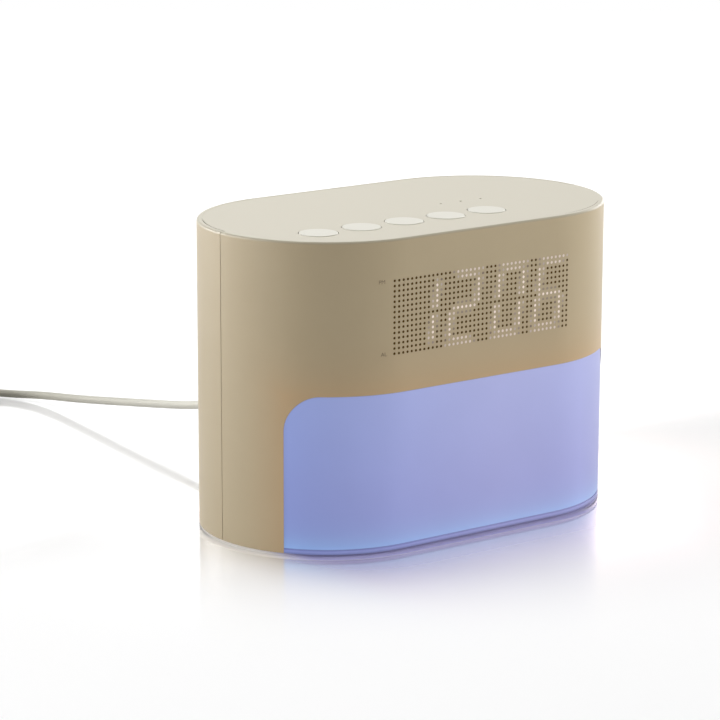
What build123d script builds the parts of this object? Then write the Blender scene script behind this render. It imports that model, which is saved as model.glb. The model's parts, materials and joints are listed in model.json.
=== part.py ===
from build123d import *
import math
import os

# Sunrise alarm clock. Millimetres, +Z up, front towards -Y, origin on the table under the centre.

# ---- case ----
case_width = 175.0
case_depth = 101.0
case_top = 122.0  # top face above the table
foot_gap = 1.0  # air between the table and the case
front_wall = 2.2
rear_wall = 2.0
top_thickness = 2.4
edge_fillet = 1.0
seam_y = -1.0  # where the front and rear shells meet
seam_gap = 0.3
lid_gap = 0.35  # between the top plate and the rear shell's rim
fit_gap = 0.3  # between pieces that are fitted together
lip_thickness = 1.2
lip_reach = 3.5
contact_gap = 0.1  # between faces that rest on each other
skirt_height = 4.0
base_thickness = 2.5
base_inset = 0.5  # base plate edge to the inside of the wall

# ---- light window ----
window_drop = 59.2  # top face to the window's upper edge
window_wrap = 35.2  # degrees round each end, from the long axis to the window's edge
window_corner = 14.0
lens_gap = 0.15
lens_recess = 0.2
lens_flange = 3.0
lens_flange_thickness = 1.5
flange_clearance = 0.2  # shell's inside to the lens flange
lens_groove_z = 1.45  # groove above the lens's lower edge
lens_groove_height = 0.6
lens_groove_depth = 0.5
chamber_depth = 32.0  # case front to the light tray's back wall
tray_wall = 2.0
tray_shelf = 1.8
tray_tab_width = 9.0
tray_tab_spacing = 70.0
tray_tab_depth = 7.0  # inside of the front wall to the tabs
tray_roof_gap = 0.2  # lens flange to the tray's roof
tray_boss_height = 2.5
tray_wire_hole = 4.4

# ---- clock display ----
hole_pitch = 2.0
hole_diameter = 1.1
hole_columns = 43
hole_rows = 15
display_drop = 30.0  # top face to the display's middle
display_skin = 0.9  # wall left at the fine holes
pocket_margin = 2.0
film_thickness = 0.4
housing_depth = 9.0
digit_height = 29.0
digit_width = 14.7
digit_pitch = 20.0
colon_space = 2.0
digit_slant = 9.0  # degrees
segment_width = 2.6
segment_gap = 0.7
segment_depth = 0.6
segment_play = 0.05
first_digit_x = -29.0
display_post_gap = 5.0  # display pocket to its posts' middles
display_board_overhang = 8.0
display_board_rise = 1.0
display_socket_drop = 10.0  # display's middle to its cable

# ---- buttons and key board ----
button_count = 5
button_diameter = 15.0
button_pitch = 20.2
button_end_inset = 28.9  # left end to the first button's middle
button_front_inset = 26.2  # case front to the buttons' middle
button_gap = 0.25
button_proud = 0.2
button_travel = 0.6
button_flange = 1.2
button_flange_height = 1.1
button_stem_diameter = 4.0
button_wall = 1.2
button_cap = 1.6
button_edge = 0.3
key_post_front_inset = 0.7  # behind the buttons' front edge
key_post_rear_inset = 2.0  # behind the indicators
key_board_margin = 3.2
key_board_drop = 9.6  # underside of the top plate to the key board
switch_size = 6.0
switch_height = 3.5
plunger_diameter = 3.4
plunger_bore = 3.8
plunger_depth = 0.7
plunger_reach = 0.8  # plunger's top above the switch when pressed
indicator_pitch = 10.0
indicator_end_inset = 61.7  # right end to the middle indicator
indicator_front_inset = 47.1
indicator_hole = 1.1
indicator_recess = 0.7
indicator_pipe = 3.0
indicator_led = (1.6, 0.8, 0.6)

# ---- light board ----
led_count = 9
led_pitch = 14.5
led_size = 5.0
led_height = 1.5
led_end_margin = 9.0
led_screw_inset = 3.5  # light board's end to its screw
led_board_height = 16.0
led_board_z = 24.0
led_cup_share = 0.38
led_cup_depth = 0.4

# ---- boards ----
board_thickness = 1.6
board_corner = 1.0
main_board_width = 96.0
board_front_gap = 7.0  # light tray to the main board
board_rear_gap = 0.7
cable_row_inset = 6.0  # board's front edge to its row of sockets
board_edge = 4.0  # board's edge to its screws
main_screw_rear = 12.0  # behind the board's middle
# x, inset from the board's rear edge, width, depth
chip_places = ((14.0, 32.5, 10.0, 10.0), (30.0, 26.5, 6.0, 8.0), (32.0, 12.5, 5.0, 6.0))
chip_height = 1.6
battery_diameter = 20.0
battery_height = 3.2
battery_edge = 0.4
battery_x = -30.0
battery_inset = 24.5  # board's rear edge to the coin cell's middle
holder_wall = 2.0
holder_floor = 1.0
capacitor_diameter = 8.0
capacitor_height = 12.0
capacitor_edge = 0.5
capacitor_places = ((12.0, 10.5), (22.0, 8.5))  # x, inset from the board's rear edge
connector_height = 5.0
connector_depth = 5.0
connector_wall = 1.0
post_diameter = 5.0
display_cable_x = -24.0
light_cable_x = 0.0
key_cable_x = 26.0
ribbon_width = 10.0
ribbon_thickness = 0.8
ribbon_bend = 6.0
ribbon_slack = 8.0
light_wire_diameter = 2.4
light_wire_run = 6.0
light_wire_rise = 7.0

# ---- loudspeaker ----
speaker_size = 42.0
speaker_hole_spacing = 35.0
speaker_drop = 54.0  # top face to the loudspeaker's middle
speaker_depth = 9.0
speaker_plate = 1.2
gasket_thickness = 3.0
gasket_width = 3.0
basket_inset = 1.5
basket_thickness = 1.2
dust_cap_radius = 6.8
cone_thickness = 0.4
cone_surround = 2.0
speaker_cable_x = 8.0
speaker_wire_diameter = 1.4
speaker_wire_spacing = 4.0
terminal = (10.0, 3.0, 1.2)
terminal_inset = 1.0
magnet_diameter = 24.0
magnet_height = 8.0
grille_hole = 1.8
grille_ring_pitch = 4.0
grille_rings = 4

# ---- screws and feet ----
screw_shank = 2.0
screw_length = 5.0
screw_head = 4.0
screw_head_height = 1.5
case_screw_shank = 2.6
case_screw_length = 9.0
case_screw_head = 5.4
case_screw_head_height = 1.9
case_screw_sink = 0.8  # head below the base's underside
screw_play = 0.05
screw_clearance = 0.2
cross_reach = 0.6  # recess as shares of the head: length and depth, width, and the head's rounding
cross_width = 0.16
head_round = 0.3
pad_wall = 1.8  # base pads round the case screws
pad_rise = 2.5
boss_radius = 3.6
boss_overlap = 0.6  # boss into the wall
boss_height = 14.0
front_boss_angle = -9.0  # degrees round the end arc
rear_boss_angle = 50.0
foot_diameter = 10.0
foot_recess = 1.0
foot_edge = 0.3
foot_spacing_x = 124.0
foot_spacing_y = 44.0

# ---- power lead ----
jack_x = -11.0
jack_z = 23.0
jack_width = 9.0
jack_length = 14.0
jack_body_height = 11.0
jack_stand = 1.0  # below the socket's body
jack_bore = 5.9
jack_pin_diameter = 2.0
barrel_diameter = 5.5
barrel_bore = 2.5
barrel_length = 9.5
plug_diameter = 9.0
plug_length = 21.5
relief_length = 18.0
relief_wall = 0.5
plug_edge = 1.0
cord_diameter = 3.5
coil_radii = (14.0, 17.5, 21.0, 24.5)
coil_layers = 3
coil_flat = 0.35
coil_centre = (-74.0, 253.0)
coil_entry_angle = 36.87
coil_exit_angle = 165.0
tie_thickness = 0.8
tie_width = 6.0
tie_corner = 1.5
tie_angle = 250.0
usb_body = (16.0, 8.5, 26.0)
usb_shell = (12.0, 4.5, 12.0)
usb_shell_wall = 0.4
usb_corner = 1.6
usb_edge = 0.5
usb_tongue_setback = 0.8
usb_relief_length = 9.0
usb_relief_step = 1.0

# ---- derived places ----
end_radius = case_depth / 2
straight = case_width - case_depth
window_top = case_top - window_drop
display_z = case_top - display_drop
speaker_z = case_top - speaker_drop
button_row_y = button_front_inset - end_radius
indicator_x = case_width / 2 - indicator_end_inset
indicator_y = indicator_front_inset - end_radius
ceiling_z = case_top - top_thickness
floor_z = foot_gap + base_thickness
front_seam_y = seam_y - seam_gap / 2
rear_seam_y = seam_y + seam_gap / 2
rear_inner_y = end_radius - rear_wall
window_half = straight / 2 + end_radius * math.cos(math.radians(window_wrap))

os.makedirs("parts", exist_ok=True)


def save(piece, name):
    piece.part.label = name
    export_step(piece.part, f"parts/{name}.step")


def facing_front(y, z=0.0):
    """Upright plane across the case at depth y, looking to the front, its origin at height z."""
    return Plane((0, y, z), x_dir=(1, 0, 0), z_dir=(0, -1, 0))


def plan(inset, z):
    """Obround outline of the case, drawn in by inset, at height z."""
    with BuildSketch(Plane.XY.offset(z)) as outline:
        SlotCenterToCenter(straight, case_depth - 2 * inset)
    return outline.sketch


def wall_y(x, inset):
    """Depth of the front wall's surface, drawn in by inset, at a place along the width."""
    overhang = max(0.0, abs(x) - straight / 2)
    return -math.sqrt((end_radius - inset) ** 2 - overhang**2)


def band(outer_inset, inner_inset, z_low, z_high):
    """Closed obround ring between two insets of the case outline."""
    with BuildPart() as ring:
        extrude(plan(outer_inset, z_low), amount=z_high - z_low)
        extrude(plan(inner_inset, z_low), amount=z_high - z_low, mode=Mode.SUBTRACT)
    return ring.part


def slab(x_low, x_high, y_low, y_high, z_low, z_high):
    """Box between two corners."""
    with BuildPart() as block:
        with Locations(((x_low + x_high) / 2, (y_low + y_high) / 2, (z_low + z_high) / 2)):
            Box(x_high - x_low, y_high - y_low, z_high - z_low)
    return block.part


def ahead_of(y_back, z_low, z_high, half_width=case_width):
    """Box in front of a plane across the case."""
    return slab(-half_width, half_width, -case_depth, y_back, z_low, z_high)


def behind(y_front, z_low, z_high, half_width=case_width):
    """Box behind a plane across the case."""
    return slab(-half_width, half_width, y_front, case_depth, z_low, z_high)


def window_outline(grow, z_low):
    """Light window seen from the front: straight sides, rounded upper corners."""
    half = window_half + grow
    top = window_top + grow
    low_corner = top - window_corner
    edge_angle = math.radians(window_wrap)
    corner_x = end_radius * (math.cos(edge_angle) - math.cos(edge_angle + window_corner / end_radius))
    with BuildSketch(facing_front(seam_y)) as outline:
        with BuildLine():
            Polyline((-half, low_corner), (-half, z_low), (half, z_low), (half, low_corner))
            Line((corner_x - half, top), (half - corner_x, top))
            EllipticalCenterArc((corner_x - half, low_corner), corner_x, window_corner, 90, arc_size=90)
            EllipticalCenterArc((half - corner_x, low_corner), corner_x, window_corner, 0, arc_size=90)
        make_face()
    return outline.sketch


def window_prism(grow, z_low):
    """Light window carried from the seam to beyond the case front."""
    with BuildPart() as prism:
        extrude(window_outline(grow, z_low), amount=end_radius + 2)
    return prism.part


def screw(shank, length, head, head_height):
    """Pan-head screw with a cross recess: head upwards, its underside at the origin."""
    with BuildPart() as body:
        Cylinder(shank / 2, length, align=(Align.CENTER, Align.CENTER, Align.MAX))
        Cylinder(head / 2, head_height, align=(Align.CENTER, Align.CENTER, Align.MIN))
        fillet(body.edges().group_by(Axis.Z)[-1], head_height * head_round)
        with BuildSketch(Plane.XY.offset(head_height)):
            Rectangle(head * cross_reach, head * cross_width)
            Rectangle(head * cross_width, head * cross_reach)
        extrude(amount=-head_height * cross_reach, mode=Mode.SUBTRACT)
    return body.part


def end_boss_point(angle):
    """Centre of a boss that leans on the inside of an end arc."""
    reach = end_radius - max(front_wall, rear_wall) - boss_radius + boss_overlap
    turn = math.radians(angle)
    return (straight / 2 + reach * math.cos(turn), reach * math.sin(turn))


def plate_with_holes(piece_plane, width, height, hole_points, hole_radius):
    """Circuit board: a rectangle on a plane, with round holes."""
    with BuildPart() as plate:
        with BuildSketch(piece_plane):
            RectangleRounded(width, height, board_corner)
            with Locations(*hole_points):
                Circle(hole_radius, mode=Mode.SUBTRACT)
        extrude(amount=board_thickness)
    return plate.part


# ---- places shared by several pieces ----
front_boss = end_boss_point(front_boss_angle)
rear_boss = end_boss_point(rear_boss_angle)
case_screw_points = [(sx * x, y) for x, y in (front_boss, rear_boss) for sx in (-1, 1)]
pad_radius = case_screw_head / 2 + pad_wall
pad_height = base_thickness + pad_rise
pad_top_z = foot_gap + pad_height

first_button_x = button_end_inset - case_width / 2
button_points = [(first_button_x + index * button_pitch, button_row_y) for index in range(button_count)]
indicator_points = [(indicator_x + step * indicator_pitch, indicator_y) for step in (-1, 0, 1)]
key_board_z = ceiling_z - key_board_drop
key_post_west = button_points[0][0] + button_pitch / 2
key_post_east = max(button_points[-1][0] + button_pitch / 2, indicator_points[-1][0] + post_diameter)
key_post_front = button_row_y - button_diameter / 2 + key_post_front_inset
key_post_rear = indicator_y + key_post_rear_inset
key_post_points = [(x, y) for x in (key_post_west, key_post_east) for y in (key_post_front, key_post_rear)]
key_board_west = button_points[0][0] - switch_size
key_board_east = key_post_east + key_board_margin
key_board_front = key_post_front - key_board_margin
key_board_rear = key_post_rear + key_board_margin

field_width = (hole_columns - 1) * hole_pitch
field_height = (hole_rows - 1) * hole_pitch
pocket_width = field_width + 2 * pocket_margin
pocket_height = field_height + 2 * pocket_margin
film_outer = display_skin + segment_play
film_inner = film_outer + film_thickness
film_half = pocket_width / 2 - fit_gap
housing_front_y = wall_y(film_half, film_inner) + contact_gap
display_board_y = housing_front_y + housing_depth
display_post_x = pocket_width / 2 + display_post_gap
display_post_rise = field_height / 2
display_post_points = [
    (sx * display_post_x, display_z + sz * display_post_rise) for sx in (-1, 1) for sz in (-1, 1)
]

tray_back_y = -end_radius + chamber_depth
tray_inset = front_wall + flange_clearance + lens_flange_thickness + fit_gap
tray_low = floor_z + fit_gap
tray_roof = window_top + lens_flange + tray_roof_gap
tab_z = tray_roof + tray_shelf + post_diameter / 2
tab_points = [(x, tab_z) for x in (-tray_tab_spacing / 2, tray_tab_spacing / 2)]
tab_y = -end_radius + front_wall + tray_tab_depth
led_board_width = (led_count - 1) * led_pitch + 2 * led_end_margin
led_screw_x = led_board_width / 2 - led_screw_inset
led_screw_points = [(-led_screw_x, 0), (led_screw_x, 0)]

jack_axis_height = jack_body_height / 2 + jack_stand
main_board_z = jack_z - jack_axis_height
main_board_rear = -wall_y(main_board_width / 2, rear_wall) - board_rear_gap
main_board_front = tray_back_y + tray_wall + board_front_gap
main_board_depth = main_board_rear - main_board_front
main_board_y = (main_board_rear + main_board_front) / 2
main_screw_x = main_board_width / 2 - board_edge
main_screw_front = board_edge - main_board_depth / 2
main_screw_points = [(sx * main_screw_x, y) for sx in (-1, 1) for y in (main_screw_front, main_screw_rear)]
cable_row_y = main_board_front + cable_row_inset

speaker_hole_reach = speaker_hole_spacing / 2
speaker_screw_points = [
    (sx * speaker_hole_reach, speaker_z + sz * speaker_hole_reach) for sx in (-1, 1) for sz in (-1, 1)
]
gasket_y = rear_inner_y - gasket_thickness
speaker_back_y = gasket_y - speaker_plate - speaker_depth
terminal_low_z = speaker_z - speaker_size / 2 + terminal_inset

small_screw = screw(screw_shank, screw_length, screw_head, screw_head_height)
case_screw = screw(case_screw_shank, case_screw_length, case_screw_head, case_screw_head_height)
pilot_radius = screw_shank / 2 + screw_play
case_pilot_radius = case_screw_shank / 2 + screw_play
board_hole_radius = screw_shank / 2 + screw_clearance


# ---- front shell: front wall and whole top plate in one moulding ----
rear_cut_region = behind(front_seam_y, 0, case_top + 1)
with BuildPart() as rear_trim:
    add(rear_cut_region)
    extrude(plan(rear_wall + lid_gap, 0), amount=case_top + 1, mode=Mode.SUBTRACT)

with BuildPart() as seam_lip:
    add(band(front_wall, front_wall + lip_thickness, pad_top_z + fit_gap, ceiling_z))
    add(behind(seam_y + lip_reach, 0, case_top), mode=Mode.SUBTRACT)
    add(ahead_of(seam_y - lip_reach, 0, case_top), mode=Mode.SUBTRACT)

with BuildPart() as top_skirt:
    skirt_inset = rear_wall + lid_gap
    add(band(skirt_inset, skirt_inset + lip_thickness, ceiling_z - skirt_height, ceiling_z))
    add(ahead_of(seam_y, 0, case_top), mode=Mode.SUBTRACT)

with BuildPart() as display_pocket:
    extrude(plan(display_skin, display_z - pocket_height / 2), amount=pocket_height)
    add(ahead_of(tab_y, 0, case_top, pocket_width / 2), mode=Mode.INTERSECT)

with BuildPart() as front_shell:
    extrude(plan(0, foot_gap), amount=case_top - foot_gap)
    fillet(front_shell.edges().group_by(Axis.Z)[-1], edge_fillet)
    extrude(plan(front_wall, foot_gap), amount=ceiling_z - foot_gap, mode=Mode.SUBTRACT)
    add(rear_trim.part, mode=Mode.SUBTRACT)
    add(window_prism(0, 0), mode=Mode.SUBTRACT)
    add(display_pocket.part, mode=Mode.SUBTRACT)
    add(seam_lip.part)
    add(top_skirt.part)
    # posts for the key board, hanging from the top plate
    with BuildSketch(Plane.XY.offset(key_board_z)):
        with Locations(*key_post_points):
            Circle(post_diameter / 2)
    extrude(amount=key_board_drop)
    # posts for the display board and the light tray, standing on the inside of the front wall
    for x, z in display_post_points:
        with BuildSketch(facing_front(display_board_y)):
            with Locations((x, z)):
                Circle(post_diameter / 2)
        extrude(amount=display_board_y - wall_y(x, front_wall / 2))
    for x, z in tab_points:
        with BuildSketch(facing_front(tab_y)):
            with Locations((x, z)):
                Circle(post_diameter / 2)
        extrude(amount=tab_y - wall_y(x, front_wall / 2))
    # bosses for the base screws
    with BuildSketch(Plane.XY.offset(pad_top_z)):
        for side in (-1, 1):
            with Locations((side * front_boss[0], front_boss[1])):
                Circle(boss_radius)
    extrude(amount=boss_height)
    # pilot holes
    with BuildSketch(Plane.XY.offset(key_board_z)):
        with Locations(*key_post_points):
            Circle(pilot_radius)
    extrude(amount=screw_length, mode=Mode.SUBTRACT)
    with BuildSketch(facing_front(display_board_y)):
        with Locations(*display_post_points):
            Circle(pilot_radius)
    extrude(amount=screw_length, mode=Mode.SUBTRACT)
    with BuildSketch(facing_front(tab_y)):
        with Locations(*tab_points):
            Circle(pilot_radius)
    extrude(amount=screw_length, mode=Mode.SUBTRACT)
    with BuildSketch(Plane.XY.offset(pad_top_z)):
        for side in (-1, 1):
            with Locations((side * front_boss[0], front_boss[1])):
                Circle(case_pilot_radius)
    extrude(amount=case_screw_length, mode=Mode.SUBTRACT)
    # openings in the top plate
    with BuildSketch(Plane.XY.offset(ceiling_z)):
        with Locations(*button_points):
            Circle(button_diameter / 2 + button_gap)
        with Locations(*indicator_points):
            Circle(indicator_hole / 2)
    extrude(amount=top_thickness, mode=Mode.SUBTRACT)
    # fine holes that the digits shine through
    with BuildSketch(facing_front(tab_y)):
        with Locations((0, display_z)):
            with GridLocations(hole_pitch, hole_pitch, hole_columns, hole_rows):
                Circle(hole_diameter / 2)
    extrude(amount=end_radius + tab_y + 1, mode=Mode.SUBTRACT)
save(front_shell, "front_shell")

# ---- rear shell ----
with BuildPart() as rear_shell:
    extrude(plan(0, foot_gap), amount=case_top - foot_gap)
    fillet(rear_shell.edges().group_by(Axis.Z)[-1], edge_fillet)
    extrude(plan(rear_wall, 0), amount=case_top + 1, mode=Mode.SUBTRACT)
    add(ahead_of(rear_seam_y, 0, case_top + 1), mode=Mode.SUBTRACT)
    with BuildSketch(Plane.XY.offset(pad_top_z)):
        for side in (-1, 1):
            with Locations((side * rear_boss[0], rear_boss[1])):
                Circle(boss_radius)
    extrude(amount=boss_height)
    with BuildSketch(Plane.XY.offset(pad_top_z)):
        for side in (-1, 1):
            with Locations((side * rear_boss[0], rear_boss[1])):
                Circle(case_pilot_radius)
    extrude(amount=case_screw_length, mode=Mode.SUBTRACT)
    with BuildSketch(facing_front(rear_inner_y)):
        with Locations(*speaker_screw_points):
            Circle(post_diameter / 2)
    extrude(amount=gasket_thickness)
    with BuildSketch(facing_front(gasket_y)):
        with Locations(*speaker_screw_points):
            Circle(pilot_radius)
    extrude(amount=speaker_plate - screw_length, mode=Mode.SUBTRACT)
    with BuildSketch(facing_front(end_radius + 1)):
        with Locations((jack_x, jack_z)):
            Circle(plug_diameter / 2 + fit_gap)
        with Locations((0, speaker_z)):
            Circle(grille_hole / 2)
            for ring in range(1, grille_rings + 1):
                with PolarLocations(ring * grille_ring_pitch, 6 * ring):
                    Circle(grille_hole / 2)
    extrude(amount=rear_wall + 2, mode=Mode.SUBTRACT)
save(rear_shell, "rear_shell")

# ---- base plate ----
foot_points = [(sx * foot_spacing_x / 2, sy * foot_spacing_y / 2) for sx in (-1, 1) for sy in (-1, 1)]
with BuildPart() as base_plate:
    extrude(plan(max(front_wall, rear_wall) + base_inset, foot_gap), amount=base_thickness)
    with BuildSketch(Plane.XY.offset(foot_gap)):
        with Locations(*case_screw_points):
            Circle(pad_radius)
    extrude(amount=pad_height)
    extrude(plan(max(front_wall, rear_wall) + base_inset, foot_gap), amount=pad_height, mode=Mode.INTERSECT)
    with BuildSketch(Plane.XY.offset(floor_z)):
        with Locations((0, main_board_y)):
            with Locations(*main_screw_points):
                Circle(post_diameter / 2)
    extrude(amount=main_board_z - board_thickness - floor_z)
    with BuildSketch(Plane.XY.offset(main_board_z - board_thickness)):
        with Locations((0, main_board_y)):
            with Locations(*main_screw_points):
                Circle(pilot_radius)
    extrude(amount=-screw_length, mode=Mode.SUBTRACT)
    with BuildSketch(Plane.XY.offset(foot_gap)):
        with Locations(*case_screw_points):
            Circle(case_screw_head / 2 + fit_gap)
    extrude(amount=case_screw_head_height + case_screw_sink, mode=Mode.SUBTRACT)
    with BuildSketch(Plane.XY.offset(foot_gap)):
        with Locations(*case_screw_points):
            Circle(case_screw_shank / 2 + screw_clearance)
    extrude(amount=pad_height, mode=Mode.SUBTRACT)
    with BuildSketch(Plane.XY.offset(foot_gap)):
        with Locations(*foot_points):
            Circle(foot_diameter / 2 + contact_gap)
    extrude(amount=foot_recess, mode=Mode.SUBTRACT)
save(base_plate, "base_plate")

# ---- rubber feet ----
with BuildPart() as rubber_feet:
    with BuildSketch():
        with Locations(*foot_points):
            Circle(foot_diameter / 2)
    extrude(amount=foot_gap + foot_recess)
    chamfer(rubber_feet.edges().group_by(Axis.Z)[0], foot_edge)
save(rubber_feet, "rubber_feet")

# ---- light diffuser: a lens that fills the window, with a flange behind the shell ----
flange_outer = front_wall + flange_clearance
flange_inner = flange_outer + lens_flange_thickness
with BuildPart() as lens_back:
    add(band(flange_outer, flange_inner, tray_low, window_top + lens_flange))
    add(window_prism(lens_flange, tray_low), mode=Mode.INTERSECT)
    add(ahead_of(front_boss[1] - pad_radius - fit_gap, 0, case_top), mode=Mode.INTERSECT)
    add(window_prism(-lens_flange, tray_low + lens_flange), mode=Mode.SUBTRACT)

with BuildPart() as lens_groove:
    groove_z = foot_gap + lens_groove_z
    add(band(0, lens_recess + lens_groove_depth, groove_z, groove_z + lens_groove_height))

with BuildPart() as light_diffuser:
    add(band(lens_recess, flange_outer, foot_gap, window_top))
    add(window_prism(-lens_gap, foot_gap), mode=Mode.INTERSECT)
    add(lens_groove.part, mode=Mode.SUBTRACT)
    add(lens_back.part)
save(light_diffuser, "light_diffuser")

# ---- light tray: white trough behind the lens ----
tray_plane = facing_front(tray_back_y)
with BuildPart() as light_tray:
    extrude(plan(tray_inset, tray_low), amount=tray_roof + tray_shelf - tray_low)
    add(behind(tray_back_y + tray_wall, 0, case_top), mode=Mode.SUBTRACT)
    add(ahead_of(tray_back_y, tray_low + tray_wall, tray_roof), mode=Mode.SUBTRACT)
    # bosses and slot behind the light board
    with BuildSketch(facing_front(tray_back_y + tray_wall)):
        with Locations((0, led_board_z)):
            with Locations(*led_screw_points):
                Circle(post_diameter / 2)
    extrude(amount=-tray_boss_height)
    with BuildSketch(tray_plane):
        with Locations((0, led_board_z)):
            with Locations(*led_screw_points):
                Circle(pilot_radius)
            Circle(tray_wire_hole / 2)
    extrude(amount=-(tray_wall + tray_boss_height), mode=Mode.SUBTRACT)
    # tabs that screw to the front shell
    for x, z in tab_points:
        west = x - tray_tab_width / 2
        east = x + tray_tab_width / 2
        add(slab(west, east, tab_y, tab_y + tray_wall, tray_roof, z + post_diameter / 2))
    with BuildSketch(facing_front(tab_y)):
        with Locations(*tab_points):
            Circle(board_hole_radius)
    extrude(amount=-tray_wall, mode=Mode.SUBTRACT)
save(light_tray, "light_tray")

# ---- light board with its coloured lamps ----
led_board_front = facing_front(tray_back_y, led_board_z)
led_board_size = (led_board_width, led_board_height)
with BuildPart() as light_board:
    add(plate_with_holes(led_board_front, *led_board_size, led_screw_points, board_hole_radius))
save(light_board, "light_board")

led_face_y = tray_back_y - board_thickness
with BuildPart() as light_leds:
    with BuildSketch(facing_front(led_face_y)):
        with Locations((0, led_board_z)):
            with GridLocations(led_pitch, led_pitch, led_count, 1):
                Rectangle(led_size, led_size)
    extrude(amount=led_height)
    with BuildSketch(facing_front(led_face_y - led_height)):
        with Locations((0, led_board_z)):
            with GridLocations(led_pitch, led_pitch, led_count, 1):
                Circle(led_size * led_cup_share)
    extrude(amount=-led_cup_depth, mode=Mode.SUBTRACT)
save(light_leds, "light_leds")

# ---- clock display ----
housing_low = display_z - pocket_height / 2 + fit_gap
housing_high = display_z + pocket_height / 2 - fit_gap
with BuildPart() as display_film:
    add(band(film_outer, film_inner, housing_low, housing_high))
    add(ahead_of(tab_y, 0, case_top, film_half), mode=Mode.INTERSECT)
save(display_film, "display_film")


def bar_corners(x, z, length, upright, shrink):
    """Corners of one slanted bar with pointed ends, drawn in by shrink."""
    tip = segment_width / 2 - shrink
    half = length / 2 - shrink * math.sqrt(2)
    shoulder = half - tip
    corners = [(-half, 0), (-shoulder, tip), (shoulder, tip), (half, 0), (shoulder, -tip), (-shoulder, -tip)]
    if upright:
        corners = [(across, along) for along, across in corners]
    return [(x + dx + (z + dz) * digit_lean, display_z + z + dz) for dx, dz in corners]


def digit_bars(digit_x, only_right, shrink):
    """Corners of all bars of one digit; the leading digit has its right uprights only."""
    side = (digit_width - segment_width) / 2
    rise = (digit_height - segment_width) / 2
    bars = [(digit_x + side, z, rise - segment_gap, True) for z in (-rise / 2, rise / 2)]
    if not only_right:
        bars += [(digit_x - side, z, rise - segment_gap, True) for z in (-rise / 2, rise / 2)]
        bars += [(digit_x, z, 2 * side - segment_gap, False) for z in (-rise, 0, rise)]
    return [bar_corners(*bar, shrink) for bar in bars]


digit_lean = math.tan(math.radians(digit_slant))
digit_x_places = [first_digit_x + index * digit_pitch for index in (0, 1)]
digit_x_places += [first_digit_x + index * digit_pitch + colon_space for index in (2, 3)]
colon_x = (digit_x_places[1] + digit_x_places[2]) / 2
colon_places = [(colon_x + z * digit_lean, display_z + z) for z in (-digit_height / 4, digit_height / 4)]


def digit_windows(shrink):
    """Outlines of all bars and the colon on the housing's front face."""
    with BuildSketch(facing_front(housing_front_y)) as outline:
        for index, digit_x in enumerate(digit_x_places):
            for corners in digit_bars(digit_x, index == 0, shrink):
                Polygon(*corners, align=None)
        with Locations(*colon_places):
            Circle(segment_width / 2 - shrink)
    return outline.sketch


with BuildPart() as display_housing:
    add(slab(-film_half, film_half, housing_front_y, display_board_y, housing_low, housing_high))
    extrude(digit_windows(0), amount=-housing_depth, mode=Mode.SUBTRACT)
save(display_housing, "display_housing")

with BuildPart() as display_segments:
    extrude(digit_windows(segment_play), amount=-segment_depth)
save(display_segments, "display_segments")

display_board_plane = facing_front(display_board_y + board_thickness, display_z)
display_board_holes = [(x, z - display_z) for x, z in display_post_points]
with BuildPart() as display_board:
    add(
        plate_with_holes(
            display_board_plane,
            pocket_width + 2 * display_board_overhang,
            pocket_height + display_board_rise,
            display_board_holes,
            board_hole_radius,
        )
    )
save(display_board, "display_board")

# ---- buttons with the switch plungers they press ----
flange_top_z = ceiling_z - contact_gap
flange_low_z = flange_top_z - button_flange_height
button_top_z = case_top + button_proud
switch_top_z = key_board_z + switch_height
plunger_low_z = switch_top_z - plunger_depth
plunger_top_z = switch_top_z + button_travel + plunger_reach
for index, (x, y) in enumerate(button_points, start=1):
    with BuildPart() as button:
        with BuildSketch(Plane.XY.offset(flange_low_z)):
            with Locations((x, y)):
                Circle(button_diameter / 2 + button_flange)
        extrude(amount=button_flange_height)
        with BuildSketch(Plane.XY.offset(flange_low_z)):
            with Locations((x, y)):
                Circle(button_diameter / 2)
        extrude(amount=button_top_z - flange_low_z)
        fillet(button.edges().group_by(Axis.Z)[-1], button_edge)
        with BuildSketch(Plane.XY.offset(flange_low_z)):
            with Locations((x, y)):
                Circle(button_diameter / 2 - button_wall)
                Circle(button_stem_diameter / 2, mode=Mode.SUBTRACT)
        extrude(amount=button_top_z - flange_low_z - button_cap, mode=Mode.SUBTRACT)
        with BuildSketch(Plane.XY.offset(plunger_top_z)):
            with Locations((x, y)):
                Circle(button_stem_diameter / 2)
        extrude(amount=flange_low_z - plunger_top_z)
    save(button, f"button_{index}")
    with BuildPart() as switch_plunger:
        with BuildSketch(Plane.XY.offset(plunger_low_z)):
            with Locations((x, y)):
                Circle(plunger_diameter / 2)
        extrude(amount=plunger_top_z - plunger_low_z)
    save(switch_plunger, f"switch_plunger_{index}")

# ---- key board ----
key_board_centre = ((key_board_west + key_board_east) / 2, (key_board_front + key_board_rear) / 2)
key_board_plane = Plane.XY.offset(key_board_z - board_thickness).move(Location((*key_board_centre, 0)))
key_board_holes = [(x - key_board_centre[0], y - key_board_centre[1]) for x, y in key_post_points]
with BuildPart() as key_board:
    add(
        plate_with_holes(
            key_board_plane,
            key_board_east - key_board_west,
            key_board_rear - key_board_front,
            key_board_holes,
            board_hole_radius,
        )
    )
save(key_board, "key_board")

with BuildPart() as key_switches:
    with BuildSketch(Plane.XY.offset(key_board_z)):
        with Locations(*button_points):
            Rectangle(switch_size, switch_size)
    extrude(amount=switch_height)
    with BuildSketch(Plane.XY.offset(switch_top_z)):
        with Locations(*button_points):
            Circle(plunger_bore / 2)
    extrude(amount=-(plunger_depth + button_travel + fit_gap), mode=Mode.SUBTRACT)
save(key_switches, "key_switches")

with BuildPart() as indicator_leds:
    with BuildSketch(Plane.XY.offset(key_board_z)):
        with Locations(*indicator_points):
            Rectangle(indicator_led[0], indicator_led[1])
    extrude(amount=indicator_led[2])
save(indicator_leds, "indicator_leds")

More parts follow.
